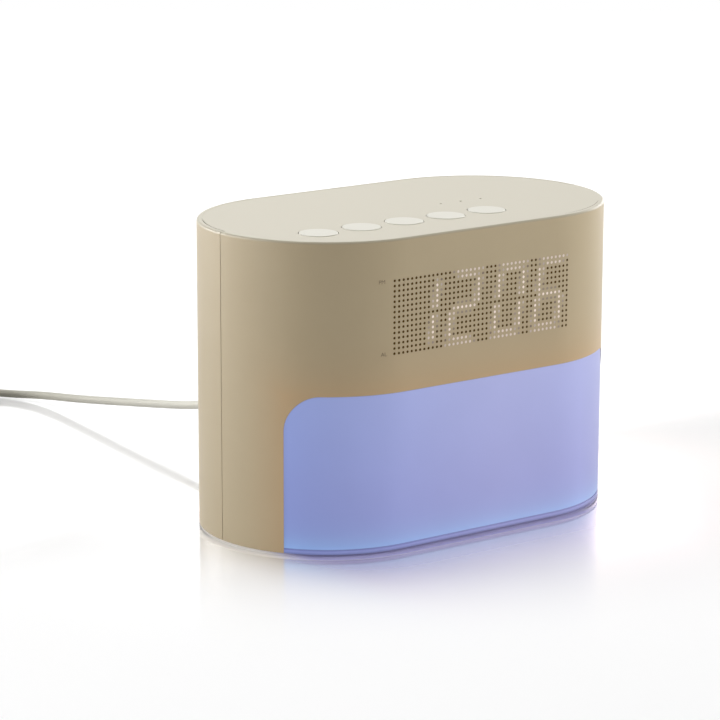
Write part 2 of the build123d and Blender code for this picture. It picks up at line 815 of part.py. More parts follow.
pipe_low_z = key_board_z + indicator_led[2] + contact_gap
with BuildPart() as indicator_light_pipes:
    with BuildSketch(Plane.XY.offset(pipe_low_z)):
        with Locations(*indicator_points):
            Circle(indicator_pipe / 2)
    extrude(amount=ceiling_z - pipe_low_z)
    with BuildSketch(Plane.XY.offset(ceiling_z)):
        with Locations(*indicator_points):
            Circle(indicator_hole / 2 - segment_play)
    extrude(amount=top_thickness - indicator_recess)
save(indicator_light_pipes, "indicator_light_pipes")

# ---- main board and what is soldered to it ----
main_board_plane = Plane.XY.offset(main_board_z - board_thickness).move(Location((0, main_board_y, 0)))
main_board_size = (main_board_width, main_board_depth)
with BuildPart() as main_board:
    add(plate_with_holes(main_board_plane, *main_board_size, main_screw_points, board_hole_radius))
save(main_board, "main_board")

with BuildPart() as board_chips:
    with BuildSketch(Plane.XY.offset(main_board_z)):
        for x, inset, width, depth in chip_places:
            with Locations((x, main_board_rear - inset)):
                Rectangle(width, depth)
    extrude(amount=chip_height)
save(board_chips, "board_chips")

with BuildPart() as board_capacitors:
    with BuildSketch(Plane.XY.offset(main_board_z)):
        with Locations(*[(x, main_board_rear - inset) for x, inset in capacitor_places]):
            Circle(capacitor_diameter / 2)
    extrude(amount=capacitor_height)
    fillet(board_capacitors.edges().group_by(Axis.Z)[-1], capacitor_edge)
save(board_capacitors, "board_capacitors")

holder_width = battery_diameter + 2 * holder_wall
battery_y = main_board_rear - battery_inset
with BuildPart() as battery_holder:
    with BuildSketch(Plane.XY.offset(main_board_z)):
        with Locations((battery_x, battery_y)):
            RectangleRounded(holder_width, holder_width - holder_wall, holder_wall)
    extrude(amount=holder_floor + battery_height + contact_gap)
    with BuildSketch(Plane.XY.offset(main_board_z + holder_floor)):
        with Locations((battery_x, battery_y)):
            Circle(battery_diameter / 2 + contact_gap)
    extrude(amount=battery_height + holder_floor, mode=Mode.SUBTRACT)
save(battery_holder, "battery_holder")

with BuildPart() as backup_battery:
    with BuildSketch(Plane.XY.offset(main_board_z + holder_floor)):
        with Locations((battery_x, battery_y)):
            Circle(battery_diameter / 2)
    extrude(amount=battery_height)
    chamfer(backup_battery.edges().group_by(Axis.Z)[0], battery_edge)
save(backup_battery, "backup_battery")

# ---- cables between the boards ----
display_socket_z = display_z - display_socket_drop
display_back_y = display_board_y + board_thickness
key_socket_z = key_board_z - board_thickness
socket_top_z = main_board_z + connector_height
connector_half = ribbon_width / 2 + connector_wall
socket_front = cable_row_y - connector_depth / 2
socket_rear = cable_row_y + connector_depth / 2
with BuildPart() as board_sockets:
    for x in (display_cable_x, light_cable_x, key_cable_x):
        west = x - connector_half
        east = x + connector_half
        add(slab(west, east, socket_front, socket_rear, main_board_z, socket_top_z))
    west = display_cable_x - connector_half
    east = display_cable_x + connector_half
    low = display_socket_z - connector_depth / 2
    high = display_socket_z + connector_depth / 2
    add(slab(west, east, display_back_y, display_back_y + connector_height, low, high))
    west = key_cable_x - connector_half
    east = key_cable_x + connector_half
    add(slab(west, east, socket_front, socket_rear, key_socket_z - connector_height, key_socket_z))
save(board_sockets, "board_sockets")

with BuildPart() as display_cable:
    ribbon_start = display_back_y + connector_height
    with BuildLine(Plane.YZ.offset(display_cable_x)) as display_route:
        FilletPolyline(
            (ribbon_start, display_socket_z),
            (cable_row_y, display_socket_z),
            (cable_row_y, socket_top_z),
            radius=ribbon_bend,
        )
    ribbon_start_point = (display_cable_x, ribbon_start, display_socket_z)
    with BuildSketch(Plane(ribbon_start_point, x_dir=(1, 0, 0), z_dir=(0, 1, 0))):
        Rectangle(ribbon_width, ribbon_thickness)
    sweep(path=display_route.wires()[0])
save(display_cable, "display_cable")

with BuildPart() as key_cable:
    key_cable_top = key_socket_z - connector_height
    mid_z = (key_cable_top + socket_top_z) / 2
    with BuildLine(Plane.YZ.offset(key_cable_x)) as key_route:
        FilletPolyline(
            (cable_row_y, key_cable_top),
            (cable_row_y, key_cable_top - ribbon_slack),
            (cable_row_y + ribbon_slack, mid_z),
            (cable_row_y, socket_top_z + ribbon_slack),
            (cable_row_y, socket_top_z),
            radius=2 * ribbon_bend,
        )
    with BuildSketch(Plane((key_cable_x, cable_row_y, key_cable_top), x_dir=(1, 0, 0), z_dir=(0, 0, -1))):
        Rectangle(ribbon_width, ribbon_thickness)
    sweep(path=key_route.wires()[0])
save(key_cable, "key_cable")

with BuildPart() as light_cable:
    with BuildLine(Plane.YZ.offset(light_cable_x)) as light_route:
        FilletPolyline(
            (tray_back_y, led_board_z),
            (tray_back_y + light_wire_run, led_board_z),
            (tray_back_y + 1.5 * light_wire_run, led_board_z + light_wire_rise),
            (cable_row_y, led_board_z + light_wire_rise),
            (cable_row_y, socket_top_z),
            radius=light_wire_diameter,
        )
    with BuildSketch(Plane(light_route.line @ 0, z_dir=light_route.line % 0)):
        Circle(light_wire_diameter / 2)
    sweep(path=light_route.wires()[0])
save(light_cable, "light_cable")

# ---- loudspeaker on the rear wall ----
basket_radius = speaker_size / 2 - basket_inset
with BuildPart() as speaker_gasket:
    with BuildSketch(facing_front(rear_inner_y)):
        with Locations((0, speaker_z)):
            Circle(basket_radius)
            Circle(basket_radius - gasket_width, mode=Mode.SUBTRACT)
    extrude(amount=gasket_thickness)
save(speaker_gasket, "speaker_gasket")

with BuildPart() as speaker_frame:
    with BuildSketch(facing_front(gasket_y)):
        with Locations((0, speaker_z)):
            RectangleRounded(speaker_size, speaker_size, 4)
    extrude(amount=speaker_plate)
    with BuildSketch(facing_front(gasket_y - speaker_plate)):
        with Locations((0, speaker_z)):
            Circle(basket_radius)
    with BuildSketch(facing_front(speaker_back_y)):
        with Locations((0, speaker_z)):
            Circle(magnet_diameter / 2 + basket_thickness / 2)
    loft()
    with BuildSketch(facing_front(gasket_y)):
        with Locations((0, speaker_z)):
            Circle(basket_radius - basket_thickness)
    extrude(amount=speaker_plate, mode=Mode.SUBTRACT)
    with BuildSketch(facing_front(gasket_y - speaker_plate)):
        with Locations((0, speaker_z)):
            Circle(basket_radius - 2 * basket_thickness)
    with BuildSketch(facing_front(speaker_back_y + speaker_plate)):
        with Locations((0, speaker_z)):
            Circle(magnet_diameter / 2 - basket_thickness)
    loft(mode=Mode.SUBTRACT)
    with BuildSketch(facing_front(gasket_y)):
        with Locations(*speaker_screw_points):
            Circle(board_hole_radius)
    extrude(amount=speaker_plate, mode=Mode.SUBTRACT)
    # terminal strip under the frame
    west = speaker_cable_x - terminal[0] / 2
    east = speaker_cable_x + terminal[0] / 2
    strip_rear = gasket_y - speaker_plate
    add(slab(west, east, strip_rear - terminal[1], strip_rear, terminal_low_z, terminal_low_z + terminal[2]))
save(speaker_frame, "speaker_frame")

with BuildPart() as speaker_magnet:
    with BuildSketch(facing_front(speaker_back_y)):
        with Locations((0, speaker_z)):
            Circle(magnet_diameter / 2)
    extrude(amount=magnet_height)
save(speaker_magnet, "speaker_magnet")

lip_radius = basket_radius - basket_thickness - screw_play
cone_radius = lip_radius - cone_surround
lip_y = gasket_y - speaker_plate
neck_y = gasket_y - speaker_depth / 2
with BuildPart() as speaker_cone:
    with BuildSketch(Plane.YZ):
        with BuildLine():
            Polyline(
                (neck_y - cone_thickness, speaker_z),
                (neck_y + cone_thickness, speaker_z),
                (neck_y - cone_thickness, speaker_z + dust_cap_radius),
                (lip_y + cone_thickness, speaker_z + cone_radius),
                (lip_y + cone_thickness, speaker_z + lip_radius),
                (lip_y, speaker_z + lip_radius),
                (lip_y, speaker_z + cone_radius + cone_thickness),
                (neck_y - 3 * cone_thickness, speaker_z + dust_cap_radius + cone_thickness),
                close=True,
            )
        make_face()
    revolve(axis=Axis((0, 0, speaker_z), (0, 1, 0)))
save(speaker_cone, "speaker_cone")

with BuildPart() as speaker_wires:
    wire_y = gasket_y - speaker_plate - terminal[1] / 2
    with BuildSketch(Plane.XY.offset(main_board_z)):
        with Locations((speaker_cable_x, wire_y)):
            with GridLocations(speaker_wire_spacing, speaker_wire_spacing, 2, 1):
                Circle(speaker_wire_diameter / 2)
    extrude(amount=terminal_low_z - main_board_z)
save(speaker_wires, "speaker_wires")

# ---- screws ----
with BuildPart() as case_screws:
    head_seat_z = foot_gap + case_screw_head_height + case_screw_sink
    for x, y in case_screw_points:
        with Locations(Location((x, y, head_seat_z), (180, 0, 0))):
            add(case_screw)
save(case_screws, "case_screws")

with BuildPart() as board_screws:
    for x, y in key_post_points:
        with Locations(Location((x, y, key_board_z - board_thickness), (180, 0, 0))):
            add(small_screw)
    for x, y in main_screw_points:
        with Locations(Location((x, main_board_y + y, main_board_z), (0, 0, 0))):
            add(small_screw)
    for x, z in display_post_points:
        with Locations(Location((x, display_back_y, z), (-90, 0, 0))):
            add(small_screw)
    for x, z in tab_points:
        with Locations(Location((x, tab_y + tray_wall, z), (-90, 0, 0))):
            add(small_screw)
    for x, z in led_screw_points:
        with Locations(Location((x, led_face_y, led_board_z + z), (90, 0, 0))):
            add(small_screw)
    for x, z in speaker_screw_points:
        with Locations(Location((x, gasket_y - speaker_plate, z), (90, 0, 0))):
            add(small_screw)
save(board_screws, "board_screws")

# ---- power socket ----
jack_mouth_y = rear_inner_y - fit_gap
jack_plane = Plane((jack_x, jack_mouth_y, jack_z), x_dir=(-1, 0, 0), z_dir=(0, 1, 0))
with BuildPart() as power_socket:
    with BuildSketch(jack_plane):
        Rectangle(jack_width, jack_body_height)
    extrude(amount=-jack_length)
    west = jack_x - jack_width / 2
    east = jack_x + jack_width / 2
    add(slab(west, east, jack_mouth_y - jack_length, jack_mouth_y, main_board_z, jack_z))
    with BuildSketch(jack_plane):
        Circle(jack_bore / 2)
    extrude(amount=-(barrel_length + 1), mode=Mode.SUBTRACT)
save(power_socket, "power_socket")

with BuildPart() as power_socket_pin:
    with BuildSketch(jack_plane.offset(-(barrel_length + 1))):
        Circle(jack_pin_diameter / 2)
    extrude(amount=barrel_length - 1)
    fillet(power_socket_pin.edges().group_by(Axis.Y)[-1], jack_pin_diameter / 4)
save(power_socket_pin, "power_socket_pin")

# ---- power lead ----
plug_face_y = jack_mouth_y + contact_gap
plug_plane = Plane((jack_x, plug_face_y, jack_z), x_dir=(-1, 0, 0), z_dir=(0, 1, 0))
with BuildPart() as plug_barrel:
    with BuildSketch(plug_plane):
        Circle(barrel_diameter / 2)
        Circle(barrel_bore / 2, mode=Mode.SUBTRACT)
    extrude(amount=-barrel_length)
save(plug_barrel, "plug_barrel")

with BuildPart() as plug_body:
    with BuildSketch(plug_plane):
        Circle(plug_diameter / 2)
    extrude(amount=plug_length)
    chamfer(plug_body.edges().group_by(Axis.Y)[-1], plug_edge)
save(plug_body, "plug_body")

relief_start_y = plug_face_y + plug_length
with BuildPart() as plug_relief:
    with BuildSketch(plug_plane.offset(plug_length)):
        Circle(plug_diameter / 2 - plug_edge - relief_wall)
    with BuildSketch(plug_plane.offset(plug_length + relief_length)):
        Circle(cord_diameter / 2 + relief_wall)
    loft()
save(plug_relief, "plug_relief")

cord_radius = cord_diameter / 2
coil_low = tie_thickness
coil_x, coil_y = coil_centre
coil_outer = coil_radii[-1] + cord_radius
coil_inner = coil_radii[0] - cord_radius
coil_height = coil_layers * cord_diameter


def coil_point(radius, angle, z):
    turn = math.radians(angle)
    return (coil_x + radius * math.cos(turn), coil_y + radius * math.sin(turn), z)


cord_exit = (jack_x, relief_start_y + relief_length, jack_z)
coil_entry = coil_point(coil_radii[-1], coil_entry_angle, coil_low + cord_radius)
cord_route = [
    cord_exit,
    (jack_x, cord_exit[1] + 19.0, jack_z),
    (-16.4, 126.0, 17.8),
    (-21.9, 160.0, 13.0),
    (-27.0, 203.0, 6.7),
    (-30.2, 231.0, 3.4),
    (-38.4, 246.4, 2.0),
    coil_entry,
]


def corner_radii(points):
    """Largest arc at each corner: 0.45 of the shorter run over the tangent of half the turn."""
    radii = []
    for before, corner, after in zip(points, points[1:], points[2:]):
        first = Vector(*corner) - Vector(*before)
        second = Vector(*after) - Vector(*corner)
        half_turn = math.radians(first.get_angle(second)) / 2
        radii.append(0.45 * min(first.length, second.length) / math.tan(half_turn))
    return radii


def cord_tube(points, name):
    radii = corner_radii(points)
    print(name, "radii", [round(radius, 1) for radius in radii])
    with BuildPart() as tube:
        with BuildLine() as route:
            FilletPolyline(*points, radius=radii)
        start = Plane(route.line @ 0, z_dir=route.line % 0)
        with BuildSketch(start):
            Circle(cord_radius)
        sweep(path=route.wires()[0])
    run_length = route.wires()[0].length
    volume_share = tube.part.volume / (math.pi * cord_radius**2 * run_length)
    print(name, "length", round(run_length, 1), "volume share", round(volume_share, 4))
    save(tube, name)


cord_tube(cord_route, "power_cord")

with BuildPart() as cord_coil:
    with BuildSketch(Plane.XY.offset(coil_low)):
        with Locations(coil_centre):
            Circle(coil_outer)
            Circle(coil_inner, mode=Mode.SUBTRACT)
    extrude(amount=coil_height)
    fillet(cord_coil.edges(), cord_radius - coil_flat)
save(cord_coil, "cord_coil")

tie_reach_in = math.sqrt(coil_inner**2 - (tie_width / 2) ** 2) - screw_play
tie_reach_out = coil_outer + screw_play
tie_place = coil_point((tie_reach_out + tie_reach_in) / 2, tie_angle, coil_low + coil_height / 2)
tie_turn = math.radians(tie_angle)
tie_plane = Plane(
    tie_place,
    x_dir=(math.cos(tie_turn), math.sin(tie_turn), 0),
    z_dir=(-math.sin(tie_turn), math.cos(tie_turn), 0),
)
with BuildPart() as cord_tie:
    tie_hollow = (tie_reach_out - tie_reach_in, coil_height)
    with BuildSketch(tie_plane):
        RectangleRounded(tie_hollow[0] + 2 * tie_thickness, coil_height + 2 * tie_thickness, tie_corner)
        RectangleRounded(*tie_hollow, tie_corner - tie_thickness, mode=Mode.SUBTRACT)
    extrude(amount=tie_width / 2, both=True)
save(cord_tie, "cord_tie")

exit_turn = math.radians(coil_exit_angle)
away = (-math.sin(exit_turn), math.cos(exit_turn))
coil_top_row_z = coil_low + cord_radius + (coil_layers - 1) * cord_diameter
tail_start = coil_point(coil_radii[-1], coil_exit_angle, coil_top_row_z)
usb_z = usb_body[1] / 2
tail_steps = [(12.0, 0.5, tail_start[2] - 0.4), (25.0, 0.2, usb_z), (37.0, 0.2, usb_z)]


def along_tail(distance, side, z):
    x = tail_start[0] + away[0] * distance - away[1] * side
    y = tail_start[1] + away[1] * distance + away[0] * side
    return (x, y, z)


tail_route = [tail_start] + [along_tail(*step) for step in tail_steps]
cord_tube(tail_route, "cord_tail")

# ---- USB plug at the far end ----
tail_end = tail_route[-1]
usb_plane = Plane(tail_end, x_dir=(away[1], -away[0], 0), z_dir=(away[0], away[1], 0))
with BuildPart() as usb_relief:
    with BuildSketch(usb_plane):
        Circle(cord_radius + relief_wall)
    with BuildSketch(usb_plane.offset(usb_relief_length)):
        RectangleRounded(usb_body[0] / 2, usb_body[1] - 2 * usb_relief_step, usb_corner)
    loft()
save(usb_relief, "usb_relief")

with BuildPart() as usb_plug_body:
    with BuildSketch(usb_plane.offset(usb_relief_length)):
        RectangleRounded(usb_body[0], usb_body[1], usb_corner)
    extrude(amount=usb_body[2])
    fillet(usb_plug_body.edges().filter_by(GeomType.LINE, reverse=True), usb_edge)
save(usb_plug_body, "usb_plug_body")

usb_face = usb_plane.offset(usb_relief_length + usb_body[2])
with BuildPart() as usb_plug_shell:
    with BuildSketch(usb_face):
        Rectangle(usb_shell[0], usb_shell[1])
        Rectangle(usb_shell[0] - 2 * usb_shell_wall, usb_shell[1] - 2 * usb_shell_wall, mode=Mode.SUBTRACT)
    extrude(amount=usb_shell[2])
save(usb_plug_shell, "usb_plug_shell")

with BuildPart() as usb_plug_tongue:
    tongue_height = (usb_shell[1] - 2 * usb_shell_wall) / 2
    with BuildSketch(usb_face):
        with Locations((0, -tongue_height / 2)):
            Rectangle(usb_shell[0] - 2 * usb_shell_wall, tongue_height)
    extrude(amount=usb_shell[2] - usb_tongue_setback)
save(usb_plug_tongue, "usb_plug_tongue")
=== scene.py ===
import json
import math

import bpy
import numpy as np
from mathutils import Matrix, Vector


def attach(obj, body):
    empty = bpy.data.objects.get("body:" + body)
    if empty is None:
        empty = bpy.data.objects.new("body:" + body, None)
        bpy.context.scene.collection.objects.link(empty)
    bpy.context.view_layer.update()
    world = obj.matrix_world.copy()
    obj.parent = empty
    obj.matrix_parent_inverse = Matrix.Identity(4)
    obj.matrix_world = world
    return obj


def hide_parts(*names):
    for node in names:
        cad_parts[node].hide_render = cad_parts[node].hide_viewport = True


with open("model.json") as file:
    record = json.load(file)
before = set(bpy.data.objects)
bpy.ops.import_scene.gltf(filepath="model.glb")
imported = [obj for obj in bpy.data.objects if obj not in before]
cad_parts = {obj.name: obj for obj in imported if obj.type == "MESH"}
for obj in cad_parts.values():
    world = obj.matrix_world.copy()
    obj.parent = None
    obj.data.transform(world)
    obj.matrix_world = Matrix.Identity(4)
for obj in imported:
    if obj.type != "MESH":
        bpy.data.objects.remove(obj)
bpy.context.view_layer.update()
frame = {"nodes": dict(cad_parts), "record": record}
nodes = frame["nodes"]
mm = 0.001
# case outline seen from above and the window's place, mm and degrees
caseShape = {"halfStraight": 37.0, "radius": 50.5, "windowTop": 62.8, "windowWrap": 35.2, "top": 122.0}
print("frame loaded with", len(nodes), "nodes")


def linked(name, data):
    piece = bpy.data.objects.new(name, data)
    bpy.context.scene.collection.objects.link(piece)
    return piece


def meshObject(name, points, faces):
    # points in mm
    mesh = bpy.data.meshes.new(name)
    mesh.from_pydata((np.asarray(points) * mm).tolist(), [], faces)
    mesh.update()
    return linked(name, mesh)


def smoothStep(share):
    # 0 up to 1, level at both ends: three times the square less twice the cube
    share = np.clip(share, 0.0, 1.0)
    return share * share * (3.0 - 2.0 * share)


# camera
cameraPlace = {
    "target": (-13.716, 10.089, 60.037),  # mm
    "azimuth": -36.338,  # degrees
    "elevation": 13.349,
    "roll": 0.1376,
    "distance": 1252.129,  # mm
    "lens": 157.43,  # mm
    "sensorWidth": 36.0,
}


def makeCamera(place):
    # backward axis from azimuth and elevation, rolled about itself
    azimuth, elevation, roll = (math.radians(place[key]) for key in ("azimuth", "elevation", "roll"))
    back = Vector(
        (
            math.sin(azimuth) * math.cos(elevation),
            -math.cos(azimuth) * math.cos(elevation),
            math.sin(elevation),
        )
    )
    flat = Vector((math.cos(azimuth), math.sin(azimuth), 0.0))
    upright = back.cross(flat)
    right = flat * math.cos(roll) + upright * math.sin(roll)
    up = upright * math.cos(roll) - flat * math.sin(roll)
    data = bpy.data.cameras.new("camera")
    data.lens = place["lens"]
    data.sensor_width = place["sensorWidth"]
    data.clip_start = 0.05
    data.clip_end = 50.0
    camera = linked("camera", data)
    turn = Matrix((right, up, back)).transposed().to_4x4()
    spot = (Vector(place["target"]) + back * place["distance"]) * mm
    camera.matrix_world = Matrix.Translation(spot) @ turn
    bpy.context.scene.camera = camera


makeCamera(cameraPlace)
print("camera made")

# power lead, first because its coil settles the room it needs
lead = {
    "diameter": 3.5,  # mm
    "route": (
        (-11.0, 87.8, 23.0),
        (-11.0, 106.8, 23.0),
        (-16.4, 126.0, 17.8),
        (-21.9, 160.0, 13.0),
        (-27.0, 203.0, 6.7),
        (-30.2, 231.0, 3.4),
        (-38.4, 246.4, 2.0),
    ),
    "coilCentre": (-74.0, 252.6),
    "coilRadii": (24.5, 21.0, 17.5, 14.0),
    "coilLow": 2.55,  # middle of the lowest turns
    "entryAngle": 36.87,  # degrees
    "exitAngle": 165.0,
    "passes": ((0, 0), (1, 0), (2, 0), (3, 0), (3, 1), (2, 1), (2, 2), (1, 2), (1, 1), (0, 1), (0, 2)),
    "passTurn": 308.0,  # degrees from one pass to the next
    "stepTurn": 54.0,  # degrees over which it steps aside
    "pointsPerTurn": 18,
    "tail": ((12.0, 0.5, 9.15), (25.0, 0.2, 4.25), (37.0, 0.2, 4.25)),
    "length": 1.385,  # metres
}


def coilPoints(spec):
    # radius and height hold for most of a pass, then step by a smoothstep to the next pass's
    passCount = len(spec["passes"])
    wanted = (spec["exitAngle"] - spec["entryAngle"]) % 360.0
    total = (passCount - 1) * spec["passTurn"]
    total += (wanted - total) % 360.0
    count = int(round(total / 360.0 * spec["pointsPerTurn"]))
    along = np.linspace(0.0, total, count + 1)
    radii = np.array([spec["coilRadii"][column] for column, row in spec["passes"]])
    heights = spec["coilLow"] + spec["diameter"] * np.array([row for column, row in spec["passes"]])
    index = np.minimum((along // spec["passTurn"]).astype(int), passCount - 1)
    later = np.minimum(index + 1, passCount - 1)
    hold = spec["passTurn"] - spec["stepTurn"]
    share = smoothStep((along - index * spec["passTurn"] - hold) / spec["stepTurn"])
    swell = 1.0 / math.cos(math.pi / spec["pointsPerTurn"])  # the curve cuts inside its control points
    radius = (radii[index] * (1.0 - share) + radii[later] * share) * swell
    height = heights[index] * (1.0 - share) + heights[later] * share
    angle = np.radians(spec["entryAngle"] + along)
    x = spec["coilCentre"][0] + radius * np.cos(angle)
    y = spec["coilCentre"][1] + radius * np.sin(angle)
    return np.column_stack((x, y, height))


def tailDirection(spec):
    # level directions at the coil's exit angle: away along its tangent, and across it outwards
    angle = math.radians(spec["exitAngle"])
    away = np.array((-math.sin(angle), math.cos(angle), 0.0))
    across = np.array((math.cos(angle), math.sin(angle), 0.0))
    return away, across


def leadPoints(spec):
    # the route from the plug, the coil, and a tail off the coil's outer turn by lengths along, aside and up
    away, across = tailDirection(spec)
    start = np.array((*spec["coilCentre"], 0.0)) + across * spec["coilRadii"][0]
    tail = [start + away * along - across * aside + (0.0, 0.0, up) for along, aside, up in spec["tail"]]
    return np.vstack((spec["route"], coilPoints(spec), tail))


def makeLead(spec):
    # a round tube of the cord's diameter along a smooth curve that the lead's points guide
    points = leadPoints(spec) * mm
    curve = bpy.data.curves.new("powerLead", "CURVE")
    curve.dimensions = "3D"
    curve.bevel_depth = 1.0  # times each point's radius
    curve.bevel_resolution = 4
    curve.resolution_u = 5
    curve.use_fill_caps = True
    spline = curve.splines.new("NURBS")
    spline.points.add(len(points) - 1)
    spline.points.foreach_set("co", np.column_stack((points, np.ones(len(points)))).ravel())
    spline.points.foreach_set("radius", np.full(len(points), spec["diameter"] / 2 * mm))
    spline.order_u = 3
    spline.use_endpoint_u = True
    piece = linked("powerLead", curve)
    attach(piece, "case")
    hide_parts("power_cord", "cord_coil", "cord_tail")
    return piece


leadParts = {
    "plugRadius": 4.5,  # mm
    "plugLength": 21.5,
    "plugEdge": 1.0,
    "gripFrom": 7.0,
    "gripTo": 15.0,
    "gripPitch": 1.6,
    "gripDepth": 0.22,
    "reliefLength": 18.0,
    "reliefWide": 3.0,
    "reliefThin": 2.25,
    "reliefPlain": (1.2, 1.0),  # plain lengths at its wide and its thin end
    "reliefPitch": 2.4,
    "reliefDepth": 0.55,
    "usbReliefLength": 9.0,
    "usbReliefHalf": (4.0, 3.25),
    "usbReliefPlain": (0.9, 0.8),
    "usbReliefPitch": 1.9,
    "usbReliefDepth": 0.45,
    "usbReliefPower": (2.0, 5.0),  # round at the cord, squarer at the plug
    "usbWindow": (2.1, 2.0, 2.6, 40.5),  # width, length, place across, distance from the cord's end
    "usbWindowZ": (1.99, 6.51),  # below and above the shell
    "sides": 40,
    "stationStep": 0.15,
    "sharpAngle": 50.0,  # degrees between faces above which their edge stays sharp
}


def makeSleeve(name, start, axis, across, stations, halves, power, spec):
    # superellipse rings along an axis, by half width and half height: round at power 2, squarer above it
    sides = spec["sides"]
    start, axis, across = (np.array(vector, float) for vector in (start, axis, across))
    upward = np.cross(across, axis)
    turn = np.arange(sides) / sides * 2 * math.pi
    bend = 2.0 / np.asarray(power)[:, None]
    wide = np.sign(np.cos(turn)) * np.abs(np.cos(turn)) ** bend * halves[0][:, None]
    high = np.sign(np.sin(turn)) * np.abs(np.sin(turn)) ** bend * halves[1][:, None]
    points = start + axis * stations[:, None, None] + across * wide[:, :, None] + upward * high[:, :, None]
    index = np.arange(sides)
    after = (index + 1) % sides
    rows = np.arange(len(stations) - 1)[:, None] * sides
    quads = np.stack((rows + index, rows + after, rows + after + sides, rows + index + sides), axis=-1)
    last = (len(stations) - 1) * sides
    faces = quads.reshape(-1, 4).tolist() + [index[::-1].tolist(), (index + last).tolist()]
    piece = meshObject(name, points.reshape(-1, 3), faces)
    piece.data.shade_smooth()
    piece.data.set_sharp_from_angle(angle=math.radians(spec["sharpAngle"]))
    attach(piece, "case")
    return piece


def ribs(stations, low, high, pitch, depth):
    # cut between ribs: a half sine as deep as depth past each rib, nothing outside low to high
    ridge = 0.55  # share of the pitch that a rib fills
    phase = ((stations - low) / pitch) % 1.0
    cut = np.where(phase > ridge, np.sin((phase - ridge) / (1.0 - ridge) * math.pi), 0.0)
    return np.where((stations > low) & (stations < high), cut * depth, 0.0)


def stationsAlong(length, step):
    # even steps from 0 to the length
    return np.arange(0.0, length + step / 2, step)


def makePlug(spec, leadSpec):
    # plug body with a chamfered end and ribs for the grip, then a cone of ribs down to the cord
    x, exitY, z = leadSpec["route"][0]
    stations = stationsAlong(spec["plugLength"], spec["stationStep"])
    edge = np.maximum(0.0, stations - (stations[-1] - spec["plugEdge"]))
    grip = ribs(stations, spec["gripFrom"], spec["gripTo"], spec["gripPitch"], spec["gripDepth"])
    radius = spec["plugRadius"] - edge - grip
    start = (x, exitY - spec["reliefLength"] - spec["plugLength"], z)
    power = np.full(len(stations), 2.0)
    body = makeSleeve("plugBody", start, (0, 1, 0), (1, 0, 0), stations, (radius, radius), power, spec)
    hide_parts("plug_body")
    length = spec["reliefLength"]
    stations = stationsAlong(length, spec["stationStep"])
    share = stations / stations[-1]
    low, high = spec["reliefPlain"]
    cut = ribs(stations, low, length - high, spec["reliefPitch"], spec["reliefDepth"])
    radius = spec["reliefWide"] + (spec["reliefThin"] - spec["reliefWide"]) * share - cut
    start = (x, exitY - length, z)
    power = np.full(len(stations), 2.0)
    relief = makeSleeve("plugRelief", start, (0, 1, 0), (1, 0, 0), stations, (radius, radius), power, spec)
    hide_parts("plug_relief")
    return body, relief


def makeUsbRelief(spec, leadSpec):
    # ribbed sleeve from the round cord to the flat plug
    away, across = tailDirection(leadSpec)
    length = spec["usbReliefLength"]
    stations = stationsAlong(length, spec["stationStep"])
    share = stations / stations[-1]
    low, high = spec["usbReliefPlain"]
    cut = ribs(stations, low, length - high, spec["usbReliefPitch"], spec["usbReliefDepth"])
    thin = spec["reliefThin"]
    halves = [thin + (half - thin) * share - cut for half in spec["usbReliefHalf"]]
    first, last = spec["usbReliefPower"]
    power = first + (last - first) * share
    end = leadPoints(leadSpec)[-1]
    relief = makeSleeve("usbRelief", end, away, across, stations, halves, power, spec)
    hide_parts("usb_relief")
    return relief


def makeUsbWindows(spec, leadSpec):
    # two punched windows below the metal shell and two above it, each facing outwards
    away, across = tailDirection(leadSpec)
    end = leadPoints(leadSpec)[-1]
    width, length, aside, reach = spec["usbWindow"]
    corners = np.array(((-1, -1), (1, -1), (1, 1), (-1, 1))) / 2 * (width, length)
    points, faces = [], []
    for z, order in zip(spec["usbWindowZ"], ([3, 2, 1, 0], [0, 1, 2, 3])):
        for side in (-1, 1):
            sideways = (corners[:, :1] + side * aside) * across[:2]
            square = end[:2] + sideways + (corners[:, 1:] + reach) * away[:2]
            faces.append([len(points) + place for place in order])
            points.extend([(x, y, z) for x, y in square])
    windows = meshObject("usbWindows", points, faces)
    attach(windows, "case")
    return windows


powerLead = makeLead(lead)
plugBody, plugRelief = makePlug(leadParts, lead)
usbRelief = makeUsbRelief(leadParts, lead)
usbWindows = makeUsbWindows(leadParts, lead)
print("power lead laid")


# finishes for the nodes
def linearColour(red, green, blue):
    # 0 to 255 display values to linear light
    values = np.array((red, green, blue), float) / 255.0
    values = np.where(values <= 0.04045, values / 12.92, ((values + 0.055) / 1.055) ** 2.4)
    return (*values.tolist(), 1.0)


def toned(colour, share):
    # each channel times the share, or times its own of three, and never above 1
    return (*np.minimum(1.0, np.array(colour[:3]) * share).tolist(), 1.0)


def addNode(tree, kind, inputs=None, **settings):
    # an input that is another node's output is linked, any other is set
    node = tree.nodes.new(kind)
    for key, value in settings.items():
        setattr(node, key, value)
    for key, value in (inputs or {}).items():
        if isinstance(value, bpy.types.NodeSocket):
            tree.links.new(value, node.inputs[key])
        else:
            node.inputs[key].default_value = value
    return node


def startMaterial(name):
    material = bpy.data.materials.new(name)
    material.use_nodes = True
    tree = material.node_tree
    tree.nodes.clear()
    place = tree.nodes.new("ShaderNodeTexCoord").outputs["Object"]
    return material, tree, place


def closeMaterial(tree, shader):
    output = tree.nodes.new("ShaderNodeOutputMaterial")
    tree.links.new(shader, output.inputs["Surface"])


def closeSurface(tree, inputs):
    shader = addNode(tree, "ShaderNodeBsdfPrincipled", inputs)
    closeMaterial(tree, shader.outputs["BSDF"])


